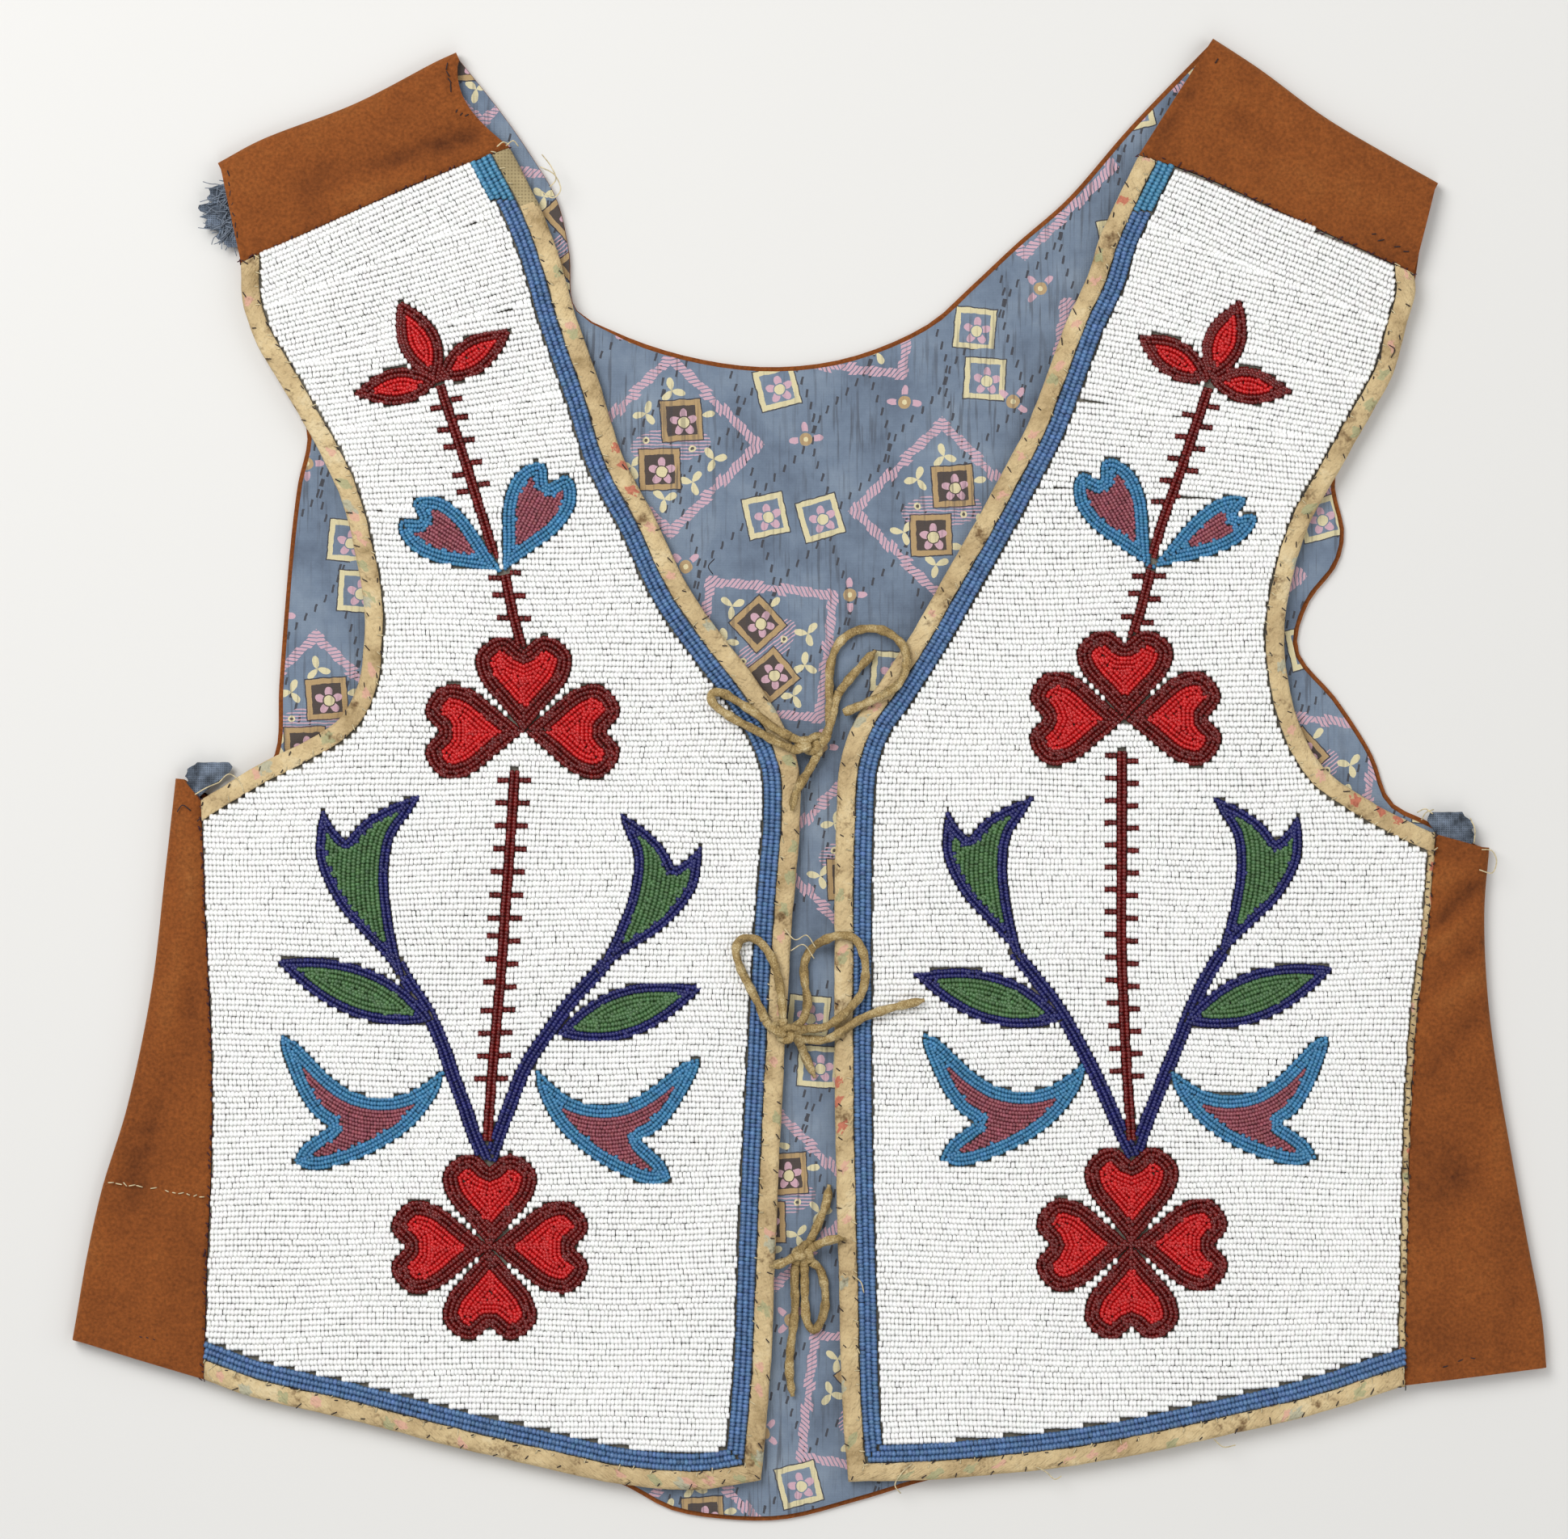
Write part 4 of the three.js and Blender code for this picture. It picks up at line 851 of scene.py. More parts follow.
def backShape(setback, foldReach):  # the flat part, and the lines where the velvet turns over
    def edge(side, name):
        return smoothLine(np.array(back[side][name], float) * [back[side]["side"], 1])

    edges = [
        edge("left", "fold"),
        edge("left", "armhole"),
        edge("left", "shoulder"),
        smoothLine(back["neck"]),
        edge("right", "shoulder")[::-1],
        edge("right", "armhole")[::-1],
        edge("right", "fold")[::-1],
        smoothLine(back["hem"])[::-1],
    ]
    # at the left strap the lining comes right out to the neck's edge
    neckSetback = setback * np.clip((edges[3][:, :1] + 80) / 25, 0.1, 1)
    loop = trimmedLoop(edges, [foldReach, setback, foldReach, neckSetback, *[foldReach, setback] * 2])
    leftFold, leftArmhole, leftShoulder, neckLine, rightShoulder = loop[:5]
    rightArmhole, rightFold, hemLine = [line[::-1] for line in loop[5:]]
    leftLow, leftHigh = splitWhere(leftArmhole, lambda p: p[:, 1] > back["left"]["strapStart"])
    rightLow, rightHigh = splitWhere(rightArmhole, lambda p: p[:, 1] > back["right"]["strapStart"])
    neckLeft, neckRest = splitWhere(neckLine, lambda p: p[:, 0] > back["strapStartsOnNeck"][0])
    neckMiddle, neckRight = splitWhere(neckRest, lambda p: p[:, 0] > back["strapStartsOnNeck"][1])
    n = backGrid
    leftBase = evenPlaces(np.array([leftHigh[0], neckMiddle[0]]), n["strapAcross"])
    rightBase = evenPlaces(np.array([neckRight[0], rightHigh[0]]), n["strapAcross"])
    leftSide, rightSide = evenPlaces(leftFold, n["side"]), evenPlaces(rightFold, n["side"])
    leftTop, rightTop = [evenPlaces(line, n["strapAcross"]) for line in (leftShoulder, rightShoulder)]
    torso = patch(
        evenPlaces(hemLine, 2 * n["strapAcross"] + n["neck"]),
        np.vstack([leftBase, evenPlaces(neckMiddle, n["neck"])[1:], rightBase[1:]]),
        np.vstack([leftSide, evenPlaces(leftLow, n["armhole"])[1:]]),
        np.vstack([rightSide, evenPlaces(rightLow, n["armhole"])[1:]]),
    )
    left = patch(leftBase, leftTop, evenPlaces(leftHigh, n["strap"]), evenPlaces(neckLeft[::-1], n["strap"]))
    right = patch(rightBase, rightTop, evenPlaces(neckRight, n["strap"]), evenPlaces(rightHigh, n["strap"]))
    return [relaxed(torso), left, right], (leftSide, rightSide, leftTop, rightTop)


def turnedOver(base, seam, hand, flatSteps, hollow=0):
    # the velvet round the turn and back over the top to its seam; its last edge curves in by the hollow
    inwards = (base[0] - base[-1]) / np.linalg.norm(base[0] - base[-1]) * hollow
    reach = np.linspace(0, 1, len(base))[:, None] ** 5
    outward = -toTheRight(base) * hand
    radius = turnover["radius"]
    rows = []
    for m in range(turnover["steps"] + 1):
        angle = math.pi * m / turnover["steps"]
        places = base + outward * radius * math.sin(angle)
        rows.append(lifted(places[None], layers["velvetMiddle"] + radius * (1 - math.cos(angle)))[0])
    for m in range(1, flatSteps + 1):
        share = m / flatSteps
        places = base + (seam - base) * share + inwards * reach * math.sin(math.pi * share**0.8)
        loose = math.sin(math.pi * min(1, 0.12 + 0.88 * share)) ** 0.6 * (1 - share**6)
        fullness = 0.5 * math.sin(math.pi * share)
        height = layers["frontMiddle"] + fullness + loose * creased(places, velvetFolds)
        rows.append(lifted(places[None], height)[0])
    return np.stack(rows)


def makeVelvet(material):
    flat, (leftSide, rightSide, leftTop, rightTop) = backShape(
        0, turnover["radius"] + layers["velvetThick"] / 2
    )
    n = backGrid

    def seam(side, name, count):
        return evenPlaces(toFrame(side, smoothLine(fronts[side][name])), count)

    bm = bmesh.new()
    for grid in flat:
        addGrid(bm, lifted(grid, layers["velvetMiddle"]))
    sideSteps, shoulderSteps = turnover["sideSteps"], turnover["shoulderSteps"]
    addGrid(bm, turnedOver(leftSide, seam("left", "seam", n["side"])[::-1], 1, sideSteps))
    addGrid(bm, turnedOver(rightSide, seam("right", "seam", n["side"])[::-1], -1, sideSteps))
    addGrid(bm, turnedOver(leftTop, seam("left", "shoulder", n["strapAcross"])[::-1], 1, shoulderSteps, 5))
    addGrid(bm, turnedOver(rightTop, seam("right", "shoulder", n["strapAcross"]), 1, shoulderSteps))
    bmesh.ops.remove_doubles(bm, verts=bm.verts, dist=2e-5)
    # the folds' heights on the turned-over velvet, kept as the attribute fold: the velvet's colour uses them
    # for painted shade in hollows and painted highlight on ridges
    over = layers["velvetMiddle"] + turnover["radius"]
    lean = creased(np.array([v.co[:2] for v in bm.verts]) / metre, velvetFolds)
    lean *= np.array([v.co.z / metre > over for v in bm.verts])
    layer = bm.verts.layers.float.new("fold")
    for vert, value in zip(bm.verts, lean):
        vert[layer] = value
    piece = toPiece(bm, "velvetBack", material)
    thicken(piece, layers["velvetThick"], 0.4)
    place(piece, "velvet", "back_velvet")
    return piece


# creases of the lining where it is bare: (x, y, turn, reach along, reach across, rise)
liningCreases = [
    (-28, 118, 65, 26, 2.2, 0.7),
    (-34, 108, 70, 30, 2.0, -0.3),
    (20, 100, 95, 34, 2.4, 0.6),
    (2, 126, 84, 20, 1.8, 0.5),
    (48, 130, 30, 24, 2.2, 0.7),
    (62, 160, 42, 26, 2.0, 0.8),
    (-60, 130, -50, 18, 1.6, 0.8),
    (-50, 120, -46, 16, 1.4, 0.7),
    (-88, 190, -62, 16, 1.6, 0.8),
    (2, -95, 88, 34, 1.5, 0.9),
    (-3, -150, 95, 26, 1.4, 0.7),
    (3, -196, 78, 20, 1.6, 0.9),
    (-16, -231, 14, 22, 1.6, 0.6),
    (-163, 60, 96, 30, 1.8, 0.6),
    (180, 20, 70, 26, 1.8, 0.6),
    (172, 60, 110, 20, 1.6, 0.6),
]


liningShort = {"edges": 1.5, "folds": 3.25}  # how far the lining stops short of the velvet's edges and folds


def makeLining(material):
    flat, _ = backShape(liningShort["edges"], liningShort["folds"])
    outlines = [frontOutline(side, 0, 0, 0) for side in fronts]
    bm = bmesh.new()
    for grid in flat:
        places = grid.reshape(-1, 2)
        bare = np.ones(len(places))
        for outline in outlines:
            clear = np.where(insideOf(places, outline), 0, distanceTo(places, outline[::4]))
            bare = np.minimum(bare, np.clip((clear - 1.0) / 5, 0, 1))
        height = layers["liningMiddle"] + bare * creased(places, liningCreases)
        addGrid(bm, lifted(grid, height.reshape(grid.shape[:2])))
    bmesh.ops.remove_doubles(bm, verts=bm.verts, dist=2e-5)
    piece = toPiece(bm, "printedLining", material)
    thicken(piece, layers["liningThick"], 0.3)
    place(piece, "lining", "back_lining")
    return piece


def makeBacking(side, material):  # the cloth that the beads are sewn to
    n = {"across": 26, "seam": 22, "armhole": 24}
    loop = frontLoop(side, bands["clothSetback"], bands["clothSetback"])
    shoulder, armhole, seamLine, hem, neck = loop
    outer = np.vstack([evenPlaces(seamLine[::-1], n["seam"]), evenPlaces(armhole[::-1], n["armhole"])[1:]])
    grid = patch(
        evenPlaces(hem[::-1], n["across"]),
        evenPlaces(shoulder, n["across"]),
        evenPlaces(neck, n["seam"] + n["armhole"]),
        outer,
    )
    grid = toFrame(side, grid)
    bm = bmesh.new()
    addGrid(bm, lifted(grid, layers["frontMiddle"] + rise(side, grid)))
    piece = toPiece(bm, side + "FrontBacking", material)
    thicken(piece, layers["frontThick"], 0.3)
    place(piece, "backing", side + "_front")
    return piece


# binding: a calico strip folded over the fronts' edges

strip = {
    "step": 1.6,
    "canvasFrom": 184.9,
    "pucker": [(4.6, 0.13), (7.3, 0.17), (12, 0.16), (24, 0.12)],
    "wander": [(7, 0.2), (15, 0.3), (37, 0.35)],
    # the shares of it that the fold's inner and outer edges have, and from or up to which depth
    "inner": {"from": 4, "wander": 0.05},
    "outer": {"to": 1.4, "wander": 0.035},
    "top": {"from": 5.8, "over": 0.7},  # only the upper face is puckered
    "fold": {"high": 0.12, "apart": 6.7},
    # (depth from the edge, height) round the fold: under, edge, over, then back inside it
    "section": [
        (6.0, 2.8), (3.5, 2.8), (1.5, 2.8), (0.5, 3.1), (0.05, 3.9), (0.05, 5.3), (0.45, 6.15), (1.3, 6.6),
        (2.6, 6.75), (4.2, 6.72), (5.5, 6.6), (6.0, 6.3), (6.0, 5.75), (1.6, 5.7), (1.15, 4.7), (1.6, 3.8),
        (6.0, 3.8),
    ],
}


def edgePairs(side, names):  # matched places on the finished edge and at the binding's depth
    outer = dict(zip(edgeNames, frontLoop(side, 0, 0)))
    inner = dict(zip(edgeNames, frontLoop(side, bands["binding"], bands["binding"])))
    pairs = []
    for name in names:
        count = round(lengthsOn(outer[name])[-1] / strip["step"])
        both = np.concatenate([evenPlaces(outer[name], count), evenPlaces(inner[name], count)], 1)
        pairs.append(both if not pairs else both[1:])
    both = np.vstack(pairs)
    return toFrame(side, both[:, :2]), toFrame(side, both[:, 2:])


def makeBinding(side, edgeName, names, seed, material, canvas):
    outer, inner = edgePairs(side, names)
    distance = lengthsOn(outer)
    section = np.array(strip["section"])
    around = lengthsOn(section)
    pucker = ripple(distance, strip["pucker"], seed)
    wander = ripple(distance, strip["wander"], seed + 1)
    grid = np.zeros((len(outer), len(section) + 1, 3))
    cloth = np.zeros((len(outer), len(section) + 1, 2))
    closed = np.vstack([section, section[:1]])
    for k, (deep, high) in enumerate(closed):
        share = deep / bands["binding"]
        reach = np.full(len(outer), share)
        if deep > strip["inner"]["from"]:
            reach += strip["inner"]["wander"] * wander
        elif deep < strip["outer"]["to"]:
            reach += strip["outer"]["wander"] * ripple(distance, strip["wander"], seed + 2)
        grid[:, k, :2] = outer + (inner - outer) * np.clip(reach, 0, 1.04)[:, None]
        over = max(0.0, min(1.0, (high - strip["top"]["from"]) / strip["top"]["over"]))
        fold = strip["fold"]["high"] * np.sin(distance * 2 * math.pi / strip["fold"]["apart"] + deep * 1.1)
        grid[:, k, 2] = high + over * (pucker + fold) * (0.4 + 0.6 * math.sin(math.pi * min(share, 0.9)))
        cloth[:, k] = np.stack([distance + seed * 37, np.full(len(outer), around[k % len(section)])], 1)
    bm = bmesh.new()
    made = addGrid(bm, grid, cloth)
    bmesh.ops.remove_doubles(bm, verts=made, dist=1e-6)
    bmesh.ops.holes_fill(bm, edges=[e for e in bm.edges if e.is_boundary], sides=0)
    piece = toPiece(bm, side + edgeName + "Binding", material)
    if (side, edgeName) == ("left", "Edge"):  # its top end is pieced with coarse cotton canvas
        piece.data.materials.append(canvas)
        for face in piece.data.polygons:
            face.material_index = int(face.center.y > strip["canvasFrom"] * metre)
    node = side + ("_armhole" if edgeName == "Armhole" else "_edge") + "_binding"
    place(piece, "calico", node)
    return piece


# printed cotton of the lining: its chart, in mm, and its material

# one repeat of the print; turns are in degrees
printChart = {
    "turn": -13.6,
    "origin": (-44.3, 108.3),
    "cell": (90, 114),
    # (across, up, turn) of each
    "blocks": [(0, 0, 13.6), (45, 57, 52)],
    "framedSquares": [(35.2, -15, 26), (52.4, -11.5, 30), (-3.5, 59.5, 8), (3.4, 44.5, 10), (29, 26, 28)],
    "blossoms": [(42, 12, 20), (-20, 31, 10), (14, 39.5, -25), (14, -37, 60), (-22.5, -33.4, -75)],
    "columns": {"apart": 25, "sway": 6, "period": 54, "dash": 3.6, "length": 2.6, "thick": 0.36},
    # what a block holds, about its own middle
    "ragged": {"turn": 45, "half": 20.5, "line": 1.5, "step": 1.5, "stroke": 1.08, "slant": 0.7, "rag": 1.1},
    "sprigs": [
        (-8, 10, -20), (0.5, 17.5, 15), (10, 9.5, 40), (14, -4.5, 160), (7, -12, 200), (-2, -17.5, 170),
        (-12.5, -7, 80),
    ],
    "squares": [(3.5, 7.9, 4), (-3.5, -7.9, 2)],
    "dots": [(-7.9, 1.4), (7.0, -1.2)],
}
printColours = {
    "ground": ("#545F70", "#6C7A8C", "#83909F"),
    "pink": "#C8A2AE",
    "cream": "#D6CBA2",
    "tan": "#B0946A",
    "dark": "#37343A",
    # dash is also the colour of the painted shade of the gathers
    "dash": "#3F3E42",
}


def newPrintGroup(name, masks):
    group = bpy.data.node_groups.new(name, "ShaderNodeTree")
    group.interface.new_socket("Places", in_out="INPUT", socket_type="NodeSocketVector")
    for mask in masks:
        group.interface.new_socket(mask, in_out="OUTPUT", socket_type="NodeSocketFloat")
    return group, group.nodes.new("NodeGroupInput").outputs[0], group.nodes.new("NodeGroupOutput").inputs


def polar(tree, places, middle=(0, 0)):  # distance from a middle, and turn from straight up
    moved = addNode(tree, "VectorMath", "SUBTRACT", [places, (*middle, 0)])
    parts = addNode(tree, "SeparateXYZ", None, [moved]).outputs
    turn = addNode(tree, "Math", "ARCTAN2", [parts[0], parts[1]])
    return addNode(tree, "VectorMath", "LENGTH", [moved]).outputs["Value"], turn


def petalReach(tree, turn, petals, folded, power, length):  # how far petals reach out at each turn
    reach = turn
    steps = (("MULTIPLY", petals), ("COSINE", 0), (folded, 0), ("POWER", power), ("MULTIPLY", length))
    for operation, value in steps:
        reach = addNode(tree, "Math", operation, [reach, value])
    return reach


def squareReach(tree, places):  # the larger of a place's two distances from the middle lines, and the smaller
    size = addNode(tree, "VectorMath", "ABSOLUTE", [places])
    parts = addNode(tree, "SeparateXYZ", None, [size]).outputs[:2]
    return [addNode(tree, "Math", operation, parts) for operation in ("MAXIMUM", "MINIMUM")]


def framedSquareGroup():  # a square frame 13 mm wide with a five-petalled flower in it
    group, places, masks = newPrintGroup("framedSquare", ["edge", "frame", "fill", "cream", "pink"])
    reach, _ = squareReach(group, places)
    for name, half in (("edge", 6.9), ("frame", 6.5), ("fill", 4.8)):
        group.links.new(addNode(group, "Math", "LESS_THAN", [reach, half]).outputs[0], masks[name])
    distance, turn = polar(group, places, (0.7, -0.7))
    group.links.new(addNode(group, "Math", "LESS_THAN", [distance, 1.75]).outputs[0], masks["cream"])
    petals = petalReach(group, turn, 2.5, "ABSOLUTE", 0.6, 4.5)
    outside = addNode(group, "Math", "GREATER_THAN", [distance, 2.1])
    petals = addNode(group, "Math", "LESS_THAN", [distance, petals])
    petals = addNode(group, "Math", "MULTIPLY", [petals, outside])
    group.links.new(petals.outputs[0], masks["pink"])
    return group


def blossomGroup():  # a round body 4 mm across with three petals on one side
    group, places, masks = newPrintGroup("blossom", ["tan", "cream", "pink"])
    distance, turn = polar(group, places)
    for name, radius in (("tan", 2.1), ("cream", 0.8)):
        group.links.new(addNode(group, "Math", "LESS_THAN", [distance, radius]).outputs[0], masks[name])
    petals = petalReach(group, turn, 4, "MAXIMUM", 0.5, 5.6)
    outside = addNode(group, "Math", "GREATER_THAN", [distance, 2.7])
    ahead = addNode(group, "Math", "LESS_THAN", [addNode(group, "Math", "ABSOLUTE", [turn]), 1.9])
    petals = addNode(group, "Math", "LESS_THAN", [distance, petals])
    for mask in (outside, ahead):
        petals = addNode(group, "Math", "MULTIPLY", [petals, mask])
    group.links.new(petals.outputs[0], masks["pink"])
    return group


def sprigGroup():  # three leaves 4 mm long
    group, places, masks = newPrintGroup("sprig", ["cream"])
    distance, turn = polar(group, places)
    leaves = petalReach(group, turn, 1.5, "ABSOLUTE", 2.2, 4.3)
    group.links.new(addNode(group, "Math", "LESS_THAN", [distance, leaves]).outputs[0], masks["cream"])
    return group


def bluePrintedCotton():
    # roller-printed plain cotton, slate blue with small squares and flowers: matte, thin and faded
    settings = {"Roughness": 0.88, "Specular IOR Level": 0.25}
    material, tree, shader = newMaterial("bluePrintedCotton", settings)
    where = addNode(tree, "TexCoord").outputs["Object"]
    mm = addNode(tree, "VectorMath", "MULTIPLY", [where, (1000, 1000, 0)])
    # the print's edges bleed by about a quarter of a millimetre
    wobble = addNode(tree, "TexNoise", None, {"Vector": mm, "Scale": 0.35, "Detail": 3}).outputs[1]
    bled = addNode(tree, "VectorMath", "MULTIPLY_ADD", [wobble, (0.9, 0.9, 0), mm])

    def turnedAbout(places, x, y, turn):
        where = {"Vector": places, "Location": (x, y, 0), "Rotation": (0, 0, math.radians(turn))}
        return addNode(tree, "Mapping", {"vector_type": "TEXTURE"}, where)

    cell = turnedAbout(bled, *printChart["origin"], printChart["turn"])
    wide, high = printChart["cell"]

    def nearest(rows, within):  # places about the motif that is nearest
        places = None
        for x, y, turn in rows:
            moved = addNode(tree, "VectorMath", "SUBTRACT", [cell, (x, y, 0)])
            limits = [moved, (wide / 2, high / 2, 1), (-wide / 2, -high / 2, -1)]
            moved = turnedAbout(addNode(tree, "VectorMath", "WRAP", limits), 0, 0, turn)
            if places is not None:
                far = addNode(tree, "VectorMath", "LENGTH", [moved]).outputs["Value"]
                near = addNode(tree, "Math", "LESS_THAN", [far, within])
                moved = addNode(
                    tree, "Mix", {"data_type": "VECTOR"}, {0: near, 4: places, 5: moved}
                ).outputs[1]
            places = moved
        return places

    fade = addNode(tree, "TexNoise", None, {"Vector": mm, "Scale": 0.03, "Detail": 6, "Roughness": 0.65})
    stops = list(zip((0.3, 0.5, 0.72), map(linear, printColours["ground"])))
    ground = addNode(tree, "ValToRGB", {"stops": stops}, {"Fac": fade})
    printed = [ground]  # the colour so far

    def stamp(mask, ink):  # faded ink: the cloth shows through a little
        if ink == "ground":
            share, ink = mask, ground
        else:
            share, ink = addNode(tree, "Math", "MULTIPLY", [mask, 0.9]), linear(printColours[ink])
        printed[0] = addNode(tree, "Mix", {"data_type": "RGBA"}, {0: share, 6: printed[0], 7: ink}).outputs[2]

    def stampGroup(group, places, inks):
        masks = addNode(tree, "Group", {"node_tree": group}, [places]).outputs
        for name, ink in inks.items():
            stamp(masks[name], ink)

    # wavy columns of dark dashes
    columns = printChart["columns"]
    x, y, _ = addNode(tree, "SeparateXYZ", None, [cell]).outputs
    step = addNode(tree, "Math", "SNAP", [y, columns["dash"]])
    sway = addNode(tree, "Math", "MULTIPLY", [step, 2 * math.pi / columns["period"]])
    sway = addNode(tree, "Math", "SINE", [sway])
    broken = addNode(tree, "Math", "SUBTRACT", [y, step])
    broken = addNode(tree, "Math", "LESS_THAN", [broken, columns["length"]])
    for side, shift in ((1, 0), (-1, columns["apart"] / 2)):
        moved = addNode(tree, "Math", "MULTIPLY_ADD", [sway, side * columns["sway"], x])
        moved = addNode(tree, "Math", "ADD", [moved, shift])
        line = addNode(tree, "Math", "PINGPONG", [moved, columns["apart"] / 2])
        line = addNode(tree, "Math", "LESS_THAN", [line, columns["thick"]])
        stamp(addNode(tree, "Math", "MULTIPLY", [line, broken]), "dash")

    block = nearest(printChart["blocks"], 30)
    ragged = printChart["ragged"]
    reach, along = squareReach(tree, turnedAbout(block, 0, 0, ragged["turn"]))
    slanted = addNode(tree, "Math", "MULTIPLY_ADD", [reach, ragged["slant"], along])
    stroke = addNode(tree, "Math", "SNAP", [slanted, ragged["step"]])
    inked = addNode(tree, "Math", "SUBTRACT", [slanted, stroke])
    inked = addNode(tree, "Math", "LESS_THAN", [inked, ragged["stroke"]])
    rag = addNode(tree, "TexWhiteNoise", {"noise_dimensions": "1D"}, {"W": stroke}).outputs["Value"]
    edge = addNode(tree, "Math", "MULTIPLY_ADD", [rag, ragged["rag"], reach])
    edge = addNode(tree, "Math", "COMPARE", [edge, ragged["half"], ragged["line"]])
    stamp(addNode(tree, "Math", "MULTIPLY", [edge, inked]), "pink")
    # hatching, a stroke each 1.1 mm, in an oval
    hatch = addNode(tree, "VectorMath", "DIVIDE", [turnedAbout(block, 0, 0, 6), (13, 5.8, 1)])
    oval = addNode(tree, "VectorMath", "LENGTH", [hatch]).outputs["Value"]
    up = addNode(tree, "SeparateXYZ", None, [block]).outputs[1]
    line = addNode(tree, "Math", "LESS_THAN", [addNode(tree, "Math", "PINGPONG", [up, 0.55]), 0.2])
    stamp(addNode(tree, "Math", "MULTIPLY", [addNode(tree, "Math", "LESS_THAN", [oval, 1]), line]), "pink")
    sprig, framedSquare, blossom = sprigGroup(), framedSquareGroup(), blossomGroup()
    for row in printChart["sprigs"]:
        stampGroup(sprig, turnedAbout(block, *row), {"cream": "cream"})
    for row in printChart["squares"]:
        inks = {"edge": "dark", "frame": "tan", "fill": "dark", "cream": "cream", "pink": "pink"}
        stampGroup(framedSquare, turnedAbout(block, *row), inks)
    for x, y in printChart["dots"]:
        distance = polar(tree, block, (x, y))[0]
        stamp(addNode(tree, "Math", "LESS_THAN", [distance, 1.15]), "cream")
        stamp(addNode(tree, "Math", "LESS_THAN", [distance, 0.55]), "dark")
    inks = {"edge": "dash", "frame": "cream", "fill": "ground", "cream": "cream", "pink": "pink"}
    stampGroup(framedSquare, nearest(printChart["framedSquares"], 10), inks)
    stampGroup(blossom, nearest(printChart["blossoms"], 8), {"tan": "tan", "pink": "pink", "cream": "cream"})
    # painted shade of fine gathers: dark streaks in the dash colour run up and down the cloth, about a
    # millimetre apart, the gathers deeper and their painted shade darker in some places than in others
    drawn = addNode(tree, "VectorMath", "MULTIPLY", [mm, (1, 0.06, 0)])
    shadeStreakNoise = addNode(tree, "TexNoise", None, {"Vector": drawn, "Scale": 0.8, "Detail": 3})
    gatherShadeStrength = addNode(tree, "TexNoise", None, {"Vector": mm, "Scale": 0.025, "Detail": 1})
    paintedGatherShade = addNode(tree, "MapRange", None, [shadeStreakNoise, 0.47, 0.36, 0.0, 0.55])
    deep = gatherShadeStrength
    steps = (("SUBTRACT", 0.3), ("MULTIPLY", 3), ("MINIMUM", 1), ("MAXIMUM", 0.15), ("MULTIPLY", paintedGatherShade))
    for operation, value in steps:
        deep = addNode(tree, "Math", operation, [deep, value])
    printed[0] = addNode(
        tree, "Mix", {"data_type": "RGBA"}, {0: deep, 6: printed[0], 7: linear(printColours["dash"])}
    ).outputs[2]
    tree.links.new(printed[0], shader.inputs["Base Color"])
    # plain weave, drawn at 0.8 mm where the real threads are 0.4 mm apart, so that it shows
    warp = addNode(tree, "TexWave", {"bands_direction": "X"}, {"Vector": mm, "Scale": math.pi / 10 / 0.8})
    weft = addNode(tree, "TexWave", {"bands_direction": "Y"}, {"Vector": mm, "Scale": math.pi / 10 / 0.8})
    weave = addNode(tree, "Math", "MAXIMUM", [warp.outputs[1], weft.outputs[1]])
    bump = addNode(tree, "Bump", None, {"Strength": 0.35, "Distance": 0.0002, "Height": weave})
    creases = addNode(tree, "TexNoise", None, {"Vector": mm, "Scale": 0.12, "Detail": 5})
    crumple = addNode(
        tree, "Bump", None, {"Strength": 0.6, "Distance": 0.0012, "Height": creases, "Normal": bump}
    )
    tree.links.new(crumple.outputs[0], shader.inputs["Normal"])
    return material


# beadwork

bead = {
    "row": 1.83,  # white rows, from thread to thread
    "pitch": 1.27,
    "length": 1.0,  # share of the pitch
    "width": 1.09,  # share of the row
    "height": 0.95,
    "uneven": 0.04,
    "turned": 0.05,
    "shift": 0.05,
    "traced": 0.25,  # step in which a white row's thread is followed
    "sway": [(23, 31, 0.45), (8.5, -14, 0.2)],  # waves of the white rows: reach across and up, and height
    "offEdge": (0.1, 0.6),  # how far the white rows' threads stop short of each thing, in mm
    "offMotif": 0.2,
    "offBorder": 0.85,
}

# colour of the glass, how much beads of one colour differ, width of a row and step from bead to bead
tints = {
    "white": ("#F4F4F2", 0.02, 1.83, 1.27),
    "border": ("#51709A", 0.12, 1.83, 1.27),
    "lightBorder": ("#4A84A6", 0.09, 1.83, 1.27),
    "red": ("#BB1618", 0.1, 1.46, 1.12),
    "darkRed": ("#64110F", 0.16, 1.57, 1.15),
    "navy": ("#22245F", 0.14, 1.5, 1.12),
    "green": ("#496B42", 0.12, 1.5, 1.12),
    "lightBlue": ("#407CA4", 0.1, 1.38, 1.08),
    "mauve": ("#8C4A54", 0.12, 1.24, 1.02),
}

# slanted rows above the shoulders' motifs: each zone's lowest line passes (out, up) at this slope in degrees
zones = {
    "left": [(145, 86, 4.5), (152, 112, 9), (160, 134, 15), (169.4, 153.3, 22.6)],
    "right": [(155, 88, 4.5), (162, 110, 9), (170, 131, 15), (180, 148.5, 23.0)],
}

# a heart from its tip: (along, across) as shares of its length and width
heartHalf = [(0, 0), (0.25, 0.22), (0.55, 0.46), (0.8, 0.5), (0.97, 0.34), (1, 0.18), (0.86, 0)]

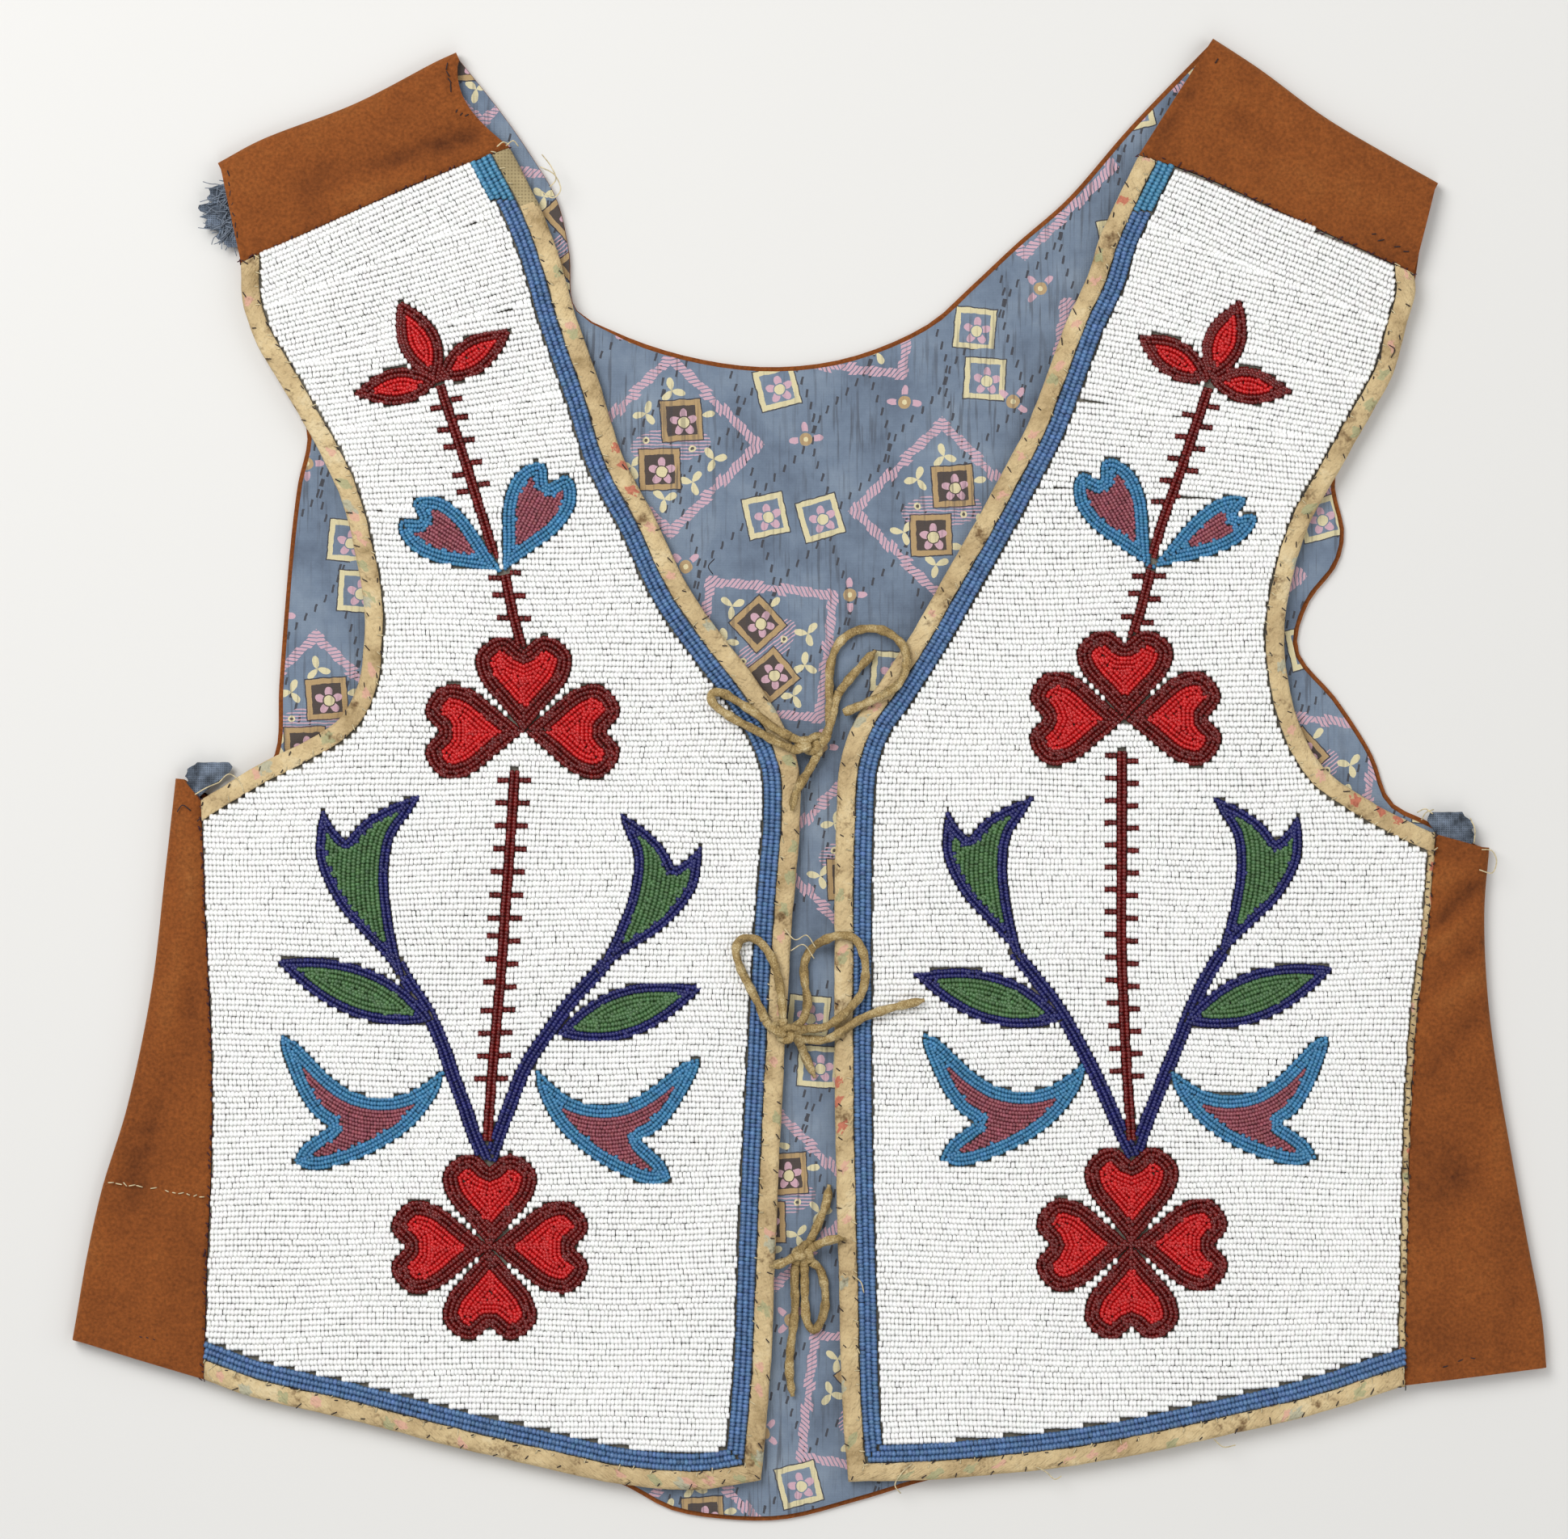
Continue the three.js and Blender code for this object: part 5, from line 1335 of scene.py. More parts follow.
# in chart squares, drawn once for the upper left leaf and bird, and turned or mirrored into the other places
forkedLeaf = {
    "attach": (505, 1226),
    "tip": (521, 983),
    "edges": [
        [
            (505, 1226), (480, 1190), (450, 1157), (423, 1127), (403, 1093), (392, 1060), (393, 1027),
            (399, 999),
        ],
        [(399, 999), (412, 1022), (428, 1040)],
        [(428, 1040), (440, 1025), (457, 1010), (490, 993), (521, 983)],
        [(521, 983), (507, 1007), (487, 1037), (480, 1080), (483, 1126), (493, 1180), (505, 1226)],
    ],
}
bird = {
    "attach": (550, 1318),
    "tip": (345, 1284),
    "edges": [
        [
            (550, 1318), (528, 1336), (500, 1352), (472, 1357), (440, 1352), (412, 1336), (386, 1312),
            (362, 1289), (345, 1282),
        ],
        [(345, 1282), (344, 1294), (356, 1328), (372, 1361), (390, 1384), (407, 1395)],
        [(407, 1395), (390, 1407), (374, 1420), (362, 1441)],
        [(362, 1441), (385, 1450), (428, 1441), (476, 1419), (515, 1389), (543, 1348), (550, 1318)],
    ],
}

# each motif's shape, its rings from the outside in, its filling and the edge that the filling's rows follow
drawnShapes = {
    "forkedLeaves": (forkedLeaf, ["navy"] * 2, "green", 3),
    "birds": (bird, ["lightBlue"] * 3, "mauve", 0),
}

# each front's motifs in chart squares
motifs = {
    "left": {
        "petals": {
            "tip": (542, 470),
            "ends": [((495, 372), 50), ((632, 408), 46), ((438, 487), 46)],
        },
        "leafHearts": {
            "tip": (622, 708), "lobes": [((520, 608), (487, 657)), ((660, 562), (715, 600))], "wide": 1.25
        },
        "trefoil": {"tip": (648, 905), "ends": [((648, 787), 117), ((527, 905), 116), ((766, 905), 116)]},
        "flower": {
            "tip": (606, 1543),
            "ends": [((606, 1428), 114), ((485, 1543), 114), ((727, 1543), 114), ((606, 1657), 114)],
        },
        "forkedLeaves": [((505, 1226), (521, 983), False), ((730, 1216), (767, 1005), True)],
        "birds": [((550, 1321), (349, 1283), False), ((663, 1320), (865, 1310), True)],
        "almonds": [((535, 1262), (342, 1188), 62), ((690, 1280), (868, 1222), 62)],
        "stems": [
            {"tint": "darkRed", "rows": 2, "line": [(545, 478), (575, 570), (600, 650), (612, 690)]},
            {"tint": "darkRed", "rows": 2, "line": [(625, 712), (634, 756), (645, 800)]},
            {
                "tint": "darkRed",
                "rows": 2,
                "line": [
                    (637, 955), (634, 1000), (630, 1060), (625, 1130), (620, 1200), (614, 1270), (608, 1340),
                    (603, 1410),
                ],
            },
            {
                "tint": "navy",
                "rows": 3,
                "line": [
                    (600, 1435), (585, 1400), (575, 1370), (560, 1330), (550, 1300), (540, 1275), (525, 1245),
                    (503, 1212), (492, 1192),
                ],
            },
            {
                "tint": "navy",
                "rows": 3,
                "line": [
                    (606, 1435), (630, 1370), (650, 1320), (680, 1275), (704, 1242), (736, 1207), (752, 1188)
                ],
            },
        ],
        "barbs": [
            {"stem": 0, "left": [502, 530, 555, 585, 610], "right": [497, 520, 548, 575, 602], "reach": 21},
            {"stem": 1, "left": [712, 738, 765], "right": [712, 738, 765], "reach": 21},
            {
                "stem": 2,
                "left": [962 + 28.5 * k for k in range(14)],
                "right": [966 + 28.5 * k for k in range(14)],
                "reach": 21,
            },
        ],
    },
    "right": {
        "petals": {
            "tip": (1497, 470),
            "ends": [((1535, 372), 50), ((1408, 415), 46), ((1597, 485), 46)],
        },
        "leafHearts": {
            "tip": (1424, 703),
            "lobes": [((1375, 555), (1328, 600)), ((1540, 605), (1555, 650))],
            "wide": 1.25,
        },
        "trefoil": {"tip": (1392, 890), "ends": [((1392, 780), 117), ((1275, 888), 116), ((1510, 888), 116)]},
        "flower": {
            "tip": (1400, 1540),
            "ends": [((1400, 1420), 114), ((1283, 1540), 114), ((1518, 1540), 114), ((1400, 1657), 114)],
        },
        "forkedLeaves": [((1270, 1200), (1280, 985), False), ((1500, 1200), (1500, 985), True)],
        "birds": [((1345, 1310), (1143, 1280), False), ((1447, 1320), (1642, 1282), True)],
        "almonds": [((1315, 1262), (1130, 1205), 62), ((1465, 1265), (1650, 1197), 62)],
        "stems": [
            {"tint": "darkRed", "rows": 2, "line": [(1495, 480), (1465, 570), (1437, 650), (1425, 690)]},
            {"tint": "darkRed", "rows": 2, "line": [(1424, 705), (1412, 752), (1400, 790)]},
            {
                "tint": "darkRed",
                "rows": 2,
                "line": [(1388, 930), (1388, 1050), (1388, 1180), (1393, 1300), (1400, 1410)],
            },
            {
                "tint": "navy",
                "rows": 3,
                "line": [
                    (1402, 1430), (1385, 1395), (1365, 1350), (1345, 1310), (1320, 1265), (1297, 1230),
                    (1268, 1194), (1256, 1178),
                ],
            },
            {
                "tint": "navy",
                "rows": 3,
                "line": [
                    (1404, 1430), (1420, 1385), (1440, 1335), (1460, 1285), (1480, 1235), (1502, 1194),
                    (1513, 1178),
                ],
            },
        ],
        "barbs": [
            {"stem": 0, "left": [515, 540, 567, 595, 622], "right": [503, 530, 557, 585, 612], "reach": 21},
            {"stem": 1, "left": [710, 735, 762], "right": [715, 740, 767], "reach": 21},
            {
                "stem": 2,
                "left": [935 + 28 * k for k in range(15)],
                "right": [940 + 28 * k for k in range(15)],
                "reach": 21,
            },
        ],
    },
}


def similar(points, source, target, mirrored):
    # turned, scaled and, if asked, mirrored from two places onto two others
    z = np.array([complex(*p) for p in points])
    a, b = (complex(*p) for p in source)
    c, d = (complex(*p) for p in target)
    if mirrored:
        z, a, b = z.conj(), a.conjugate(), b.conjugate()
    moved = c + (z - a) * (d - c) / (b - a)
    return np.stack([moved.real, moved.imag], 1)


def drawnEdges(shape, attach, tip, mirrored):
    source = shape["attach"], shape["tip"]
    return [onChart(similar(edge, source, (attach, tip), mirrored)) for edge in shape["edges"]]


def heart(tip, end, wide):
    tip, end = np.array(tip, float), np.array(end, float)
    along = end - tip
    across = np.array([-along[1], along[0]]) / np.linalg.norm(along) * wide
    half = np.array([tip + along * a + across * b for a, b in heartHalf])
    other = np.array([tip + along * a - across * b for a, b in heartHalf])[::-1]
    return np.vstack([smoothLine(onChart(half), 0.4)[:-1], smoothLine(onChart(other), 0.4)[:-1]])


def almond(base, tip, wide):
    base, tip = np.array(base, float), np.array(tip, float)
    along = tip - base
    across = np.array([-along[1], along[0]]) / np.linalg.norm(along) * wide / 2
    t = np.linspace(0, 1, 60)[:, None]
    bulge = np.sin(math.pi * t**0.92) ** 0.85
    return onChart(
        np.vstack([base + along * t + across * bulge, (base + along * t - across * bulge)[::-1][1:-1]])
    )


def stretchesOf(line, kept):  # the parts of an open line whose places are kept
    edges = np.flatnonzero(np.diff(np.concatenate([[0], kept.astype(int), [0]])))
    return [line[a:b] for a, b in zip(edges[::2], edges[1::2])]


def ringsOf(line, kept):  # those of a closed line; one that would run past its start is left to stopGaps
    if kept.all():
        return [np.vstack([line, line[:1]])]
    start = int(np.argmin(kept))
    line, kept = np.roll(line, -start, 0), np.roll(kept, -start)
    edges = np.flatnonzero(np.diff(kept.astype(int)))
    return [line[a + 1 : b + 1] for a, b in zip(edges[::2], edges[1::2])]


def closedLine(outline, step=0.4):
    closed = np.vstack([outline, outline[:1]])
    return evenPlaces(closed, max(12, round(lengthsOn(closed)[-1] / step)))[:-1]


def counterClockwise(outline):
    x, y = outline.T
    return outline if (x * np.roll(y, -1) - np.roll(x, -1) * y).sum() > 0 else outline[::-1]


def beadsAlong(line, tint):  # places and turns of beads strung on a line
    pitch = tints[tint][3]
    lengths = lengthsOn(line)
    count = int((lengths[-1] - 0.15 * pitch) / pitch) + 1
    if count < 1 or len(line) < 2:
        return np.zeros((0, 3))
    slack = (lengths[-1] - (count - 1) * pitch) / 2
    at = slack + np.arange(count) * pitch
    x, y = np.interp(at, lengths, line[:, 0]), np.interp(at, lengths, line[:, 1])
    dx = np.interp(at + 0.3, lengths, line[:, 0]) - np.interp(at - 0.3, lengths, line[:, 0])
    dy = np.interp(at + 0.3, lengths, line[:, 1]) - np.interp(at - 0.3, lengths, line[:, 1])
    return np.stack([x, y, np.arctan2(dy, dx)], 1)


def rowsInside(outline, ringTints, fill=None, guide=None):
    # rows that follow the outline inwards; with a guide the fill's rows run beside that line instead
    outline = counterClockwise(closedLine(outline))
    around = np.roll(outline, -1, 0) - np.roll(outline, 1, 0)
    around /= np.linalg.norm(around, axis=1, keepdims=True)
    inward = np.stack([-around[:, 1], around[:, 0]], 1)
    rows = []
    deep = 0.0
    for k in range(40):
        if k >= len(ringTints) and guide is not None:
            break
        tint = ringTints[k] if k < len(ringTints) else fill
        wide = tints[tint][2]
        moved = outline + inward * (deep + wide / 2)
        kept = insideOf(moved, outline) & (distanceTo(moved, outline) > deep + wide / 2 - 0.12)
        if not kept.any():
            break
        for run in ringsOf(moved, kept):
            if len(run) > 1:
                rows.append((beadsAlong(run, tint), tint))
        deep += wide
    if guide is not None:
        wide = tints[fill][2]
        beside = distanceTo(guide, outline).max() < 1  # the guide is one of the shape's edges
        middle = len(guide) // 2
        hand = 1 if insideOf(inset(guide, 1)[middle : middle + 1], outline)[0] else -1
        for k in range(0 if beside else -12, 40):
            apart = hand * (deep * beside + (k + 0.5) * wide)
            moved = evenPlaces(extended(inset(guide, apart), 30), 600)
            kept = insideOf(moved, outline) & (distanceTo(moved, outline) > deep + wide * 0.25)
            kept &= distanceTo(moved, guide) > abs(apart) - 0.15
            rows += [(beadsAlong(run, fill), fill) for run in stretchesOf(moved, kept) if len(run) > 2]
    return outline, rows


def motifRows(side):  # the outlines and stems that the white rows stop at, and the coloured rows
    table = motifs[side]
    outlines, ribbons, rows = [], [], []

    def take(result):
        outlines.append(result[0])
        rows.extend(result[1])

    for end, wide in table["petals"]["ends"]:
        take(rowsInside(almond(table["petals"]["tip"], end, wide), ["darkRed"] * 2, "red"))
    for name in ("trefoil", "flower"):
        for end, wide in table[name]["ends"]:
            take(rowsInside(heart(table[name]["tip"], end, wide), ["darkRed"] * 3, "red"))
    hearts = table["leafHearts"]
    for lobes in hearts["lobes"]:
        first, second = np.array(lobes, float)
        end = (first + second) / 2
        wide = np.linalg.norm(first - second) * hearts["wide"]
        guide = evenPlaces(onChart([hearts["tip"], end]), 40)
        take(rowsInside(heart(hearts["tip"], end, wide), ["lightBlue"] * 3, "mauve", guide))
    for name, (shape, ringTints, fill, guideEdge) in drawnShapes.items():
        for spot in table[name]:
            edges = drawnEdges(shape, *spot)
            outline = np.vstack([smoothLine(edge, 0.4)[:-1] for edge in edges])
            take(rowsInside(outline, ringTints, fill, smoothLine(edges[guideEdge])))
    for base, tip, wide in table["almonds"]:
        take(rowsInside(almond(base, tip, wide), ["navy"] * 2, "green"))
    for stem in table["stems"]:
        line = smoothLine(onChart(stem["line"]), 0.4)
        wide = tints[stem["tint"]][2]
        ribbons.append((line, stem["rows"] * wide / 2))
        for k in range(stem["rows"]):
            row = inset(line, (k - (stem["rows"] - 1) / 2) * wide)
            rows.append((beadsAlong(row, stem["tint"]), stem["tint"]))
    return outlines, ribbons, rows


lightBorderFrom = {"left": 186, "right": 183}  # up from here the border's beads are the lighter blue


def borderRows(side):  # three rows, and a fourth where the left one is light
    rows = []
    for k in range(4):
        deep = bands["border"] + (k + 0.5) * tints["border"][2]
        _, _, _, hem, neck = frontLoop(side, bands["fieldAtArmhole"], deep, bands["seamGap"])
        hem, neck = toFrame(side, hem), toFrame(side, neck)
        if k < 3:
            rows.append((beadsAlong(hem, "border"), "border"))
            light = neck[:, 1] > lightBorderFrom[side]
            rows.append((beadsAlong(neck[~light], "border"), "border"))
            rows.append((beadsAlong(neck[light], "lightBorder"), "lightBorder"))
        elif side == "left":
            top = neck[neck[:, 1] > lightBorderFrom[side]]
            rows.append((beadsAlong(top, "lightBorder"), "lightBorder"))
    return rows


fieldAtSeam = {"left": 0.3, "right": 2.3}  # the right field leaves a narrow edge of calico free


def freeStretches(side, outlines, ribbons, border):
    # the white rows' threads: zone, row, turn and places of each
    hand = fronts[side]["side"]
    edge = frontOutline(side, bands["fieldAtArmhole"], bands["field"], fieldAtSeam[side])
    lines = [((0, -300), 0.0)] + [((o * hand, u), -math.radians(slope) * hand) for o, u, slope in zones[side]]
    for z in range(len(lines) - 1, -1, -1):  # from the top zone down, each fills up to the one above
        start, turn = np.array(lines[z][0], float), lines[z][1]
        along = np.array([math.cos(turn), math.sin(turn)])
        up = np.array([-along[1], along[0]])
        at = np.arange(-260, 260, bead["traced"])
        begun = False
        for k in range(300):
            places = start + up * (k + 0.5) * bead["row"] + along * at[:, None]
            sway = sum(high * np.sin(places[:, 0] / a + places[:, 1] / b) for a, b, high in bead["sway"])
            places = places + up * sway[:, None]
            places = places[insideOf(places, edge)]
            if not len(places):
                if begun:
                    break
                continue
            begun = True
            free = distanceTo(places, closedLine(edge, 0.7)) > rng.uniform(*bead["offEdge"])
            if z + 1 < len(lines):
                nextStart, nextTurn = np.array(lines[z + 1][0], float), lines[z + 1][1]
                past = (places - nextStart) @ np.array([-math.sin(nextTurn), math.cos(nextTurn)])
                free &= past < 0.3 * bead["row"]
            for outline in outlines:
                low, high = outline.min(0) - 2, outline.max(0) + 2
                near = np.flatnonzero(free & ((places > low) & (places < high)).all(1))
                if len(near):
                    free[near] &= ~insideOf(places[near], outline)
                    free[near] &= distanceTo(places[near], outline) > bead["offMotif"]
            for line, half in ribbons:
                near = np.flatnonzero(free & (np.abs(places[:, 0] - line[:, 0].mean()) < 60))
                if len(near):
                    free[near] &= distanceTo(places[near], line) > half
            near = np.flatnonzero(free & (distanceTo(places, border[::6]) < 8))
            if len(near):
                free[near] &= distanceTo(places[near], border) > bead["offBorder"]
            for run in stretchesOf(places, free):
                yield z * 1000 + k, turn, run


def whiteRows(side, outlines, ribbons, border):
    # rows of white beads, spaced evenly from obstacle to obstacle
    rows = []
    for row, turn, places in freeStretches(side, outlines, ribbons, border):
        lengths = lengthsOn(places) if len(places) > 1 else np.zeros(1)
        count = max(1, round((lengths[-1] + rng.uniform(-0.2, 0.2)) / bead["pitch"]))
        if lengths[-1] < 0.4 * bead["pitch"]:
            continue
        step = lengths[-1] / count
        at = (np.arange(count) + 0.5) * step
        x, y = np.interp(at, lengths, places[:, 0]), np.interp(at, lengths, places[:, 1])
        rows.append(np.column_stack([x, y, np.full(count, turn), np.full(count, row)]))
    return np.vstack(rows)


def thinned(rows, least=0.93):  # beads in order, without those that would lie in one already placed
    cells, places, names = {}, [], []
    for beads, tint in rows:
        for x, y, turn in beads:
            cell = (int(x // 1.3), int(y // 1.3))
            around = [
                q for i in (-1, 0, 1) for j in (-1, 0, 1) for q in cells.get((cell[0] + i, cell[1] + j), ())
            ]
            if all((x - a) ** 2 + (y - b) ** 2 > least**2 for a, b in around):
                cells.setdefault(cell, []).append((x, y))
                places.append((x, y, turn))
                names.append(tint)
    return np.array(places), np.array(names)


def stopGaps(places, names, outlines):  # single beads where the rows of a motif leave a hole
    added, tintsAdded = [], []
    for outline in outlines:
        low, high = outline.min(0), outline.max(0)
        x, y = np.meshgrid(np.arange(low[0], high[0], 0.3), np.arange(low[1], high[1], 0.3))
        holes = np.stack([x.ravel(), y.ravel()], 1)
        holes = holes[insideOf(holes, outline)]
        holes = holes[distanceTo(holes, outline) > 0.3]
        near = np.flatnonzero(((places[:, :2] > low - 3) & (places[:, :2] < high + 3)).all(1))
        holes = holes[distanceTo(holes, places[near, :2]) > 0.88]
        for hole in holes:
            if all((hole[0] - a) ** 2 + (hole[1] - b) ** 2 > 0.88**2 for a, b, _ in added[-60:]):
                closest = near[np.argmin(((places[near, :2] - hole) ** 2).sum(1))]
                added.append((*hole, places[closest, 2]))
                tintsAdded.append(names[closest])
    return np.vstack([places, added]), np.concatenate([names, tintsAdded])


def hullOf(corners):
    bm = bmesh.new()
    for corner in corners:
        bm.verts.new(corner)
    bmesh.ops.convex_hull(bm, input=bm.verts)
    bmesh.ops.triangulate(bm, faces=bm.faces)
    bmesh.ops.recalc_face_normals(bm, faces=bm.faces)
    return bm


def beadShape():  # the upper part of a bead that lies along x, one unit long
    middle = [(0, -0.5, 0.68), (0, 0, 1), (0, 0.5, 0.68)]
    ends = [(x, y, z) for x in (-0.5, 0.5) for y, z in ((-0.45, 0.6), (0, 0.94), (0.45, 0.6))]
    return hullOf(middle + ends)


def joined(name, shape, places, material, colours=None):
    # one mesh of a small shape at every place, (n, 3, 4) matrices
    shape.verts.index_update()
    corners = np.array([v.co for v in shape.verts])
    faces = np.array([[v.index for v in f.verts] for f in shape.faces])
    points = np.einsum("nij,vj->nvi", places[:, :, :3], corners) + places[:, None, :, 3]
    corner = faces[None] + (np.arange(len(places)) * len(corners))[:, None, None]
    mesh = bpy.data.meshes.new(name)
    mesh.vertices.add(points.size // 3)
    mesh.vertices.foreach_set("co", points.ravel() * metre)
    mesh.loops.add(corner.size)
    mesh.loops.foreach_set("vertex_index", corner.ravel())
    mesh.polygons.add(corner.size // 3)
    mesh.polygons.foreach_set("loop_start", np.arange(0, corner.size, 3))
    mesh.polygons.foreach_set("use_smooth", np.ones(corner.size // 3, bool))
    if colours is not None:
        layer = mesh.attributes.new("beadColour", "FLOAT_COLOR", "POINT")
        layer.data.foreach_set("color", np.repeat(colours, len(corners), 0).ravel())
    mesh.update(calc_edges=True)
    mesh.validate()
    return pieceOf(mesh, material)


def placesOf(x, y, z, turns, sizes):  # (n, 3, 4) matrices, turned about the upright
    c, s = np.cos(turns), np.sin(turns)
    matrices = np.zeros((len(x), 3, 4))
    matrices[:, 0, 0], matrices[:, 0, 1] = c * sizes[:, 0], -s * sizes[:, 1]
    matrices[:, 1, 0], matrices[:, 1, 1] = s * sizes[:, 0], c * sizes[:, 1]
    matrices[:, 2, 2] = sizes[:, 2]
    matrices[:, 0, 3], matrices[:, 1, 3], matrices[:, 2, 3] = x, y, z
    return matrices


def makeBeads(name, side, node, slot, places, names, material):
    count = len(places)
    wide, pitch = np.array([tints[tint][2:] for tint in names]).T
    sizes = np.stack([pitch * bead["length"], wide * bead["width"], wide * bead["height"]], 1)
    sizes *= rng.normal(1, bead["uneven"], (count, 3))
    x, y = (places[:, :2] + rng.normal(0, bead["shift"], (count, 2))).T
    turns = places[:, 2] + rng.normal(0, bead["turned"], count)
    z = layers["beadFoot"] + rise(side, places[:, :2])
    colours = np.ones((count, 4))
    for tint in sorted(set(names)):
        colour, differ = tints[tint][:2]
        chosen = names == tint
        lighter = rng.normal(1, differ, (chosen.sum(), 1)).clip(0.6, 1.4)
        tinged = rng.normal(1, differ / 4, (chosen.sum(), 3))
        colours[chosen, :3] = np.array(linear(colour)[:3]) * lighter * tinged
    piece = joined(name, beadShape(), placesOf(x, y, z, turns, sizes), material, colours.clip(0, 1))
    place(piece, slot, node)
    print(name, count, "beads")


def makeBeadwork(side, material):
    outlines, ribbons, rows = motifRows(side)
    places, names = stopGaps(*thinned(rows), outlines)
    makeBeads(side + "MotifBeads", side, side + "_bead_field", "beads", places, names, material)
    border = thinned(borderRows(side))
    makeBeads(side + "BorderBeads", side, side + "_bead_border", "border_beads", *border, material)
    white = whiteRows(side, outlines, ribbons, border[0][:, :2])
    names = np.full(len(white), "white", dtype="<U12")
    for barb in motifs[side]["barbs"]:
        line = smoothLine(onChart(motifs[side]["stems"][barb["stem"]]["line"]), 0.4)
        for hand, levels in ((-1, barb["left"]), (1, barb["right"])):
            for level in levels:
                y = onChart([(0, level)])[0, 1]
                x = np.interp(-y, -line[:, 1], line[:, 0])
                reach = barb["reach"] * chart["square"]
                away = (white[:, 0] - x) * hand
                near = (away > 0) & (away < reach) & (np.abs(white[:, 1] - y) < 4)
                if near.any():
                    nearest = white[near][np.argmin(np.abs(white[near][:, 1] - y) + 0.2 * away[near])]
                    names[near & (white[:, 3] == nearest[3])] = "darkRed"
    middle = np.median(white[:, 1])
    for part, chosen in (("Lower", white[:, 1] <= middle), ("Upper", white[:, 1] > middle)):
        makeBeads(
            side + "WhiteBeads" + part,
            side,
            side + "_bead_field",
            "beads",
            white[chosen][:, :3],
            names[chosen],
            material,
        )


# stitches and loose threads

sewing = {
    "thick": 0.34,
    "lift": 0.12,
    "bindingTop": 6.78,  # height of the bindings that are sewn through
    "skipped": 0.12,  # share of the stitches that are missing
    "narrowEdge": {"depth": 1.25, "height": 5.45, "radius": 1.1, "flat": 0.4},
}

# marks of old sewing on the velvet, and the seam where its left side was pieced:
# (places on the chart, height, step, length, lean, wander)
velvetMarks = [
    ([(552, 82), (556, 100), (558, 118)], 5.7, 2.4, 2.4, 0, 0.1),
    ([(566, 138), (577, 143)], 5.7, 2.0, 1.6, 60, 0.2),
    ([(282, 215), (286, 250), (293, 290)], 5.6, 3.4, 2.2, 0, 0.2),
    ([(165, 1652), (190, 1657)], 5.7, 2.2, 1.6, 0, 0.3),
    ([(1505, 75), (1500, 110), (1490, 150)], 5.7, 4.2, 1.8, 0, 0.2),
    ([(1700, 290), (1740, 312)], 5.7, 3.0, 1.8, 30, 0.3),
    ([(1822, 1682), (1790, 1688)], 5.7, 4.0, 1.8, 0, 0.3),
]
piecedSeam = ([(138, 1463), (180, 1469), (222, 1476), (250, 1481)], 6.0, 2.2, 1.8, 0, 0.1)

# loose threads: (x, y, height) of a few places on each
looseThreads = {
    "cream": [
        [(-86, 201, 6.9), (-83, 197, 7.4), (-81.5, 193, 7.0), (-83.5, 190.5, 6.9)],
        [(-86.5, 197, 6.9), (-82, 194.5, 7.2), (-80, 189.5, 6.9), (-82.5, 187, 6.9), (-86, 189, 6.9)],
        [(-8, -48, 6.9), (-4.5, -51.5, 7.6), (-1, -50, 7.2), (2, -54, 6.9)],
        [(-6, -55, 6.9), (-2, -53, 7.5), (1.5, -57.5, 7.0)],
        [(14, -159.5, 6.9), (16.5, -161.5, 7.2), (17.5, -165, 7.0)],
        [(216.2, -22.5, 6.3), (219.4, -22.8, 6.6), (221, -26, 6.4), (219.6, -30, 6.4), (215.4, -29, 6.4)],
        [(195.6, -10.6, 4.7), (198.2, -9.4, 5.1), (200.6, -11, 4.8)],
        [(197, -13, 4.7), (198.4, -10.6, 5.2), (201, -9.6, 4.6)],
        [(212.8, -12.4, 4.3), (214.2, -16, 4.6), (214, -20.4, 4.3)],
        [(-100.5, 203.5, 6.9), (-98.4, 205, 7.2), (-96.6, 204.2, 6.9)],
        [(-97.6, 203.8, 6.9), (-95.2, 205.4, 7.3), (-93.6, 203.6, 6.9)],
        [(-190, -1, 6.6), (-186.6, 1.8, 7.4), (-183.4, -0.4, 7.0), (-181.8, -4, 6.9)],
        [(-190, -1, 6.6), (-193.8, -2.6, 7.2), (-197.6, -4.8, 6.6)],
        [(73, -221, 6.7), (76, -222.5, 7.2), (79, -225, 6.6), (81, -224, 6.2)],
        [(130, -212, 6.7), (133, -214.5, 7.1), (137, -214, 6.6)],
        [(33, -220, 6.7), (30, -222.5, 7.1), (27.5, -227, 6.4), (29.4, -229.6, 6)],
        [(-191, -188, 6.6), (-193.5, -190.6, 6.6), (-191.5, -193.6, 6.2)],
    ],
    "dark": [
        [(-30.5, 71, 6.9), (-32.5, 68.5, 7.1), (-31, 66, 7.0)],
        [(-199, -10, 6.2), (-201.6, -8.2, 6.8), (-203.4, -10.4, 6.2)],
        [(186, 140, 6.9), (188.2, 138.2, 7.2), (187, 135.6, 6.9)],
    ],
}

frayedTuft = {"root": (-183.5, 184), "spread": 7, "count": 70, "reach": (5, 13)}


def stitchShape():  # a short arched thread, one unit long
    stations = ((-0.5, -0.2), (-0.22, 0.5), (0.22, 0.5), (0.5, -0.2))
    around = ((-0.5, 0), (0, 0.5), (0.5, 0), (0, -0.5))
    return hullOf([(x, y, z + up) for x, z in stations for y, up in around])


def stitchesAlong(line, height, step, length, lean, wander=0.4):  # (x, y, height, turn, length) of each
    along = evenPlaces(line, max(2, round(lengthsOn(line)[-1] / step)))
    turn = np.arctan2(*np.gradient(along, axis=0).T[::-1]) + math.radians(lean)
    count = len(along)
    x, y = (along + rng.normal(0, wander, (count, 2))).T
    turns, lengths = turn + rng.normal(0, 0.3, count), length * rng.uniform(0.65, 1.25, count)
    kept = rng.random(count) > sewing["skipped"]
    return np.stack([x, y, np.broadcast_to(height, count), turns, lengths], 1)[kept]


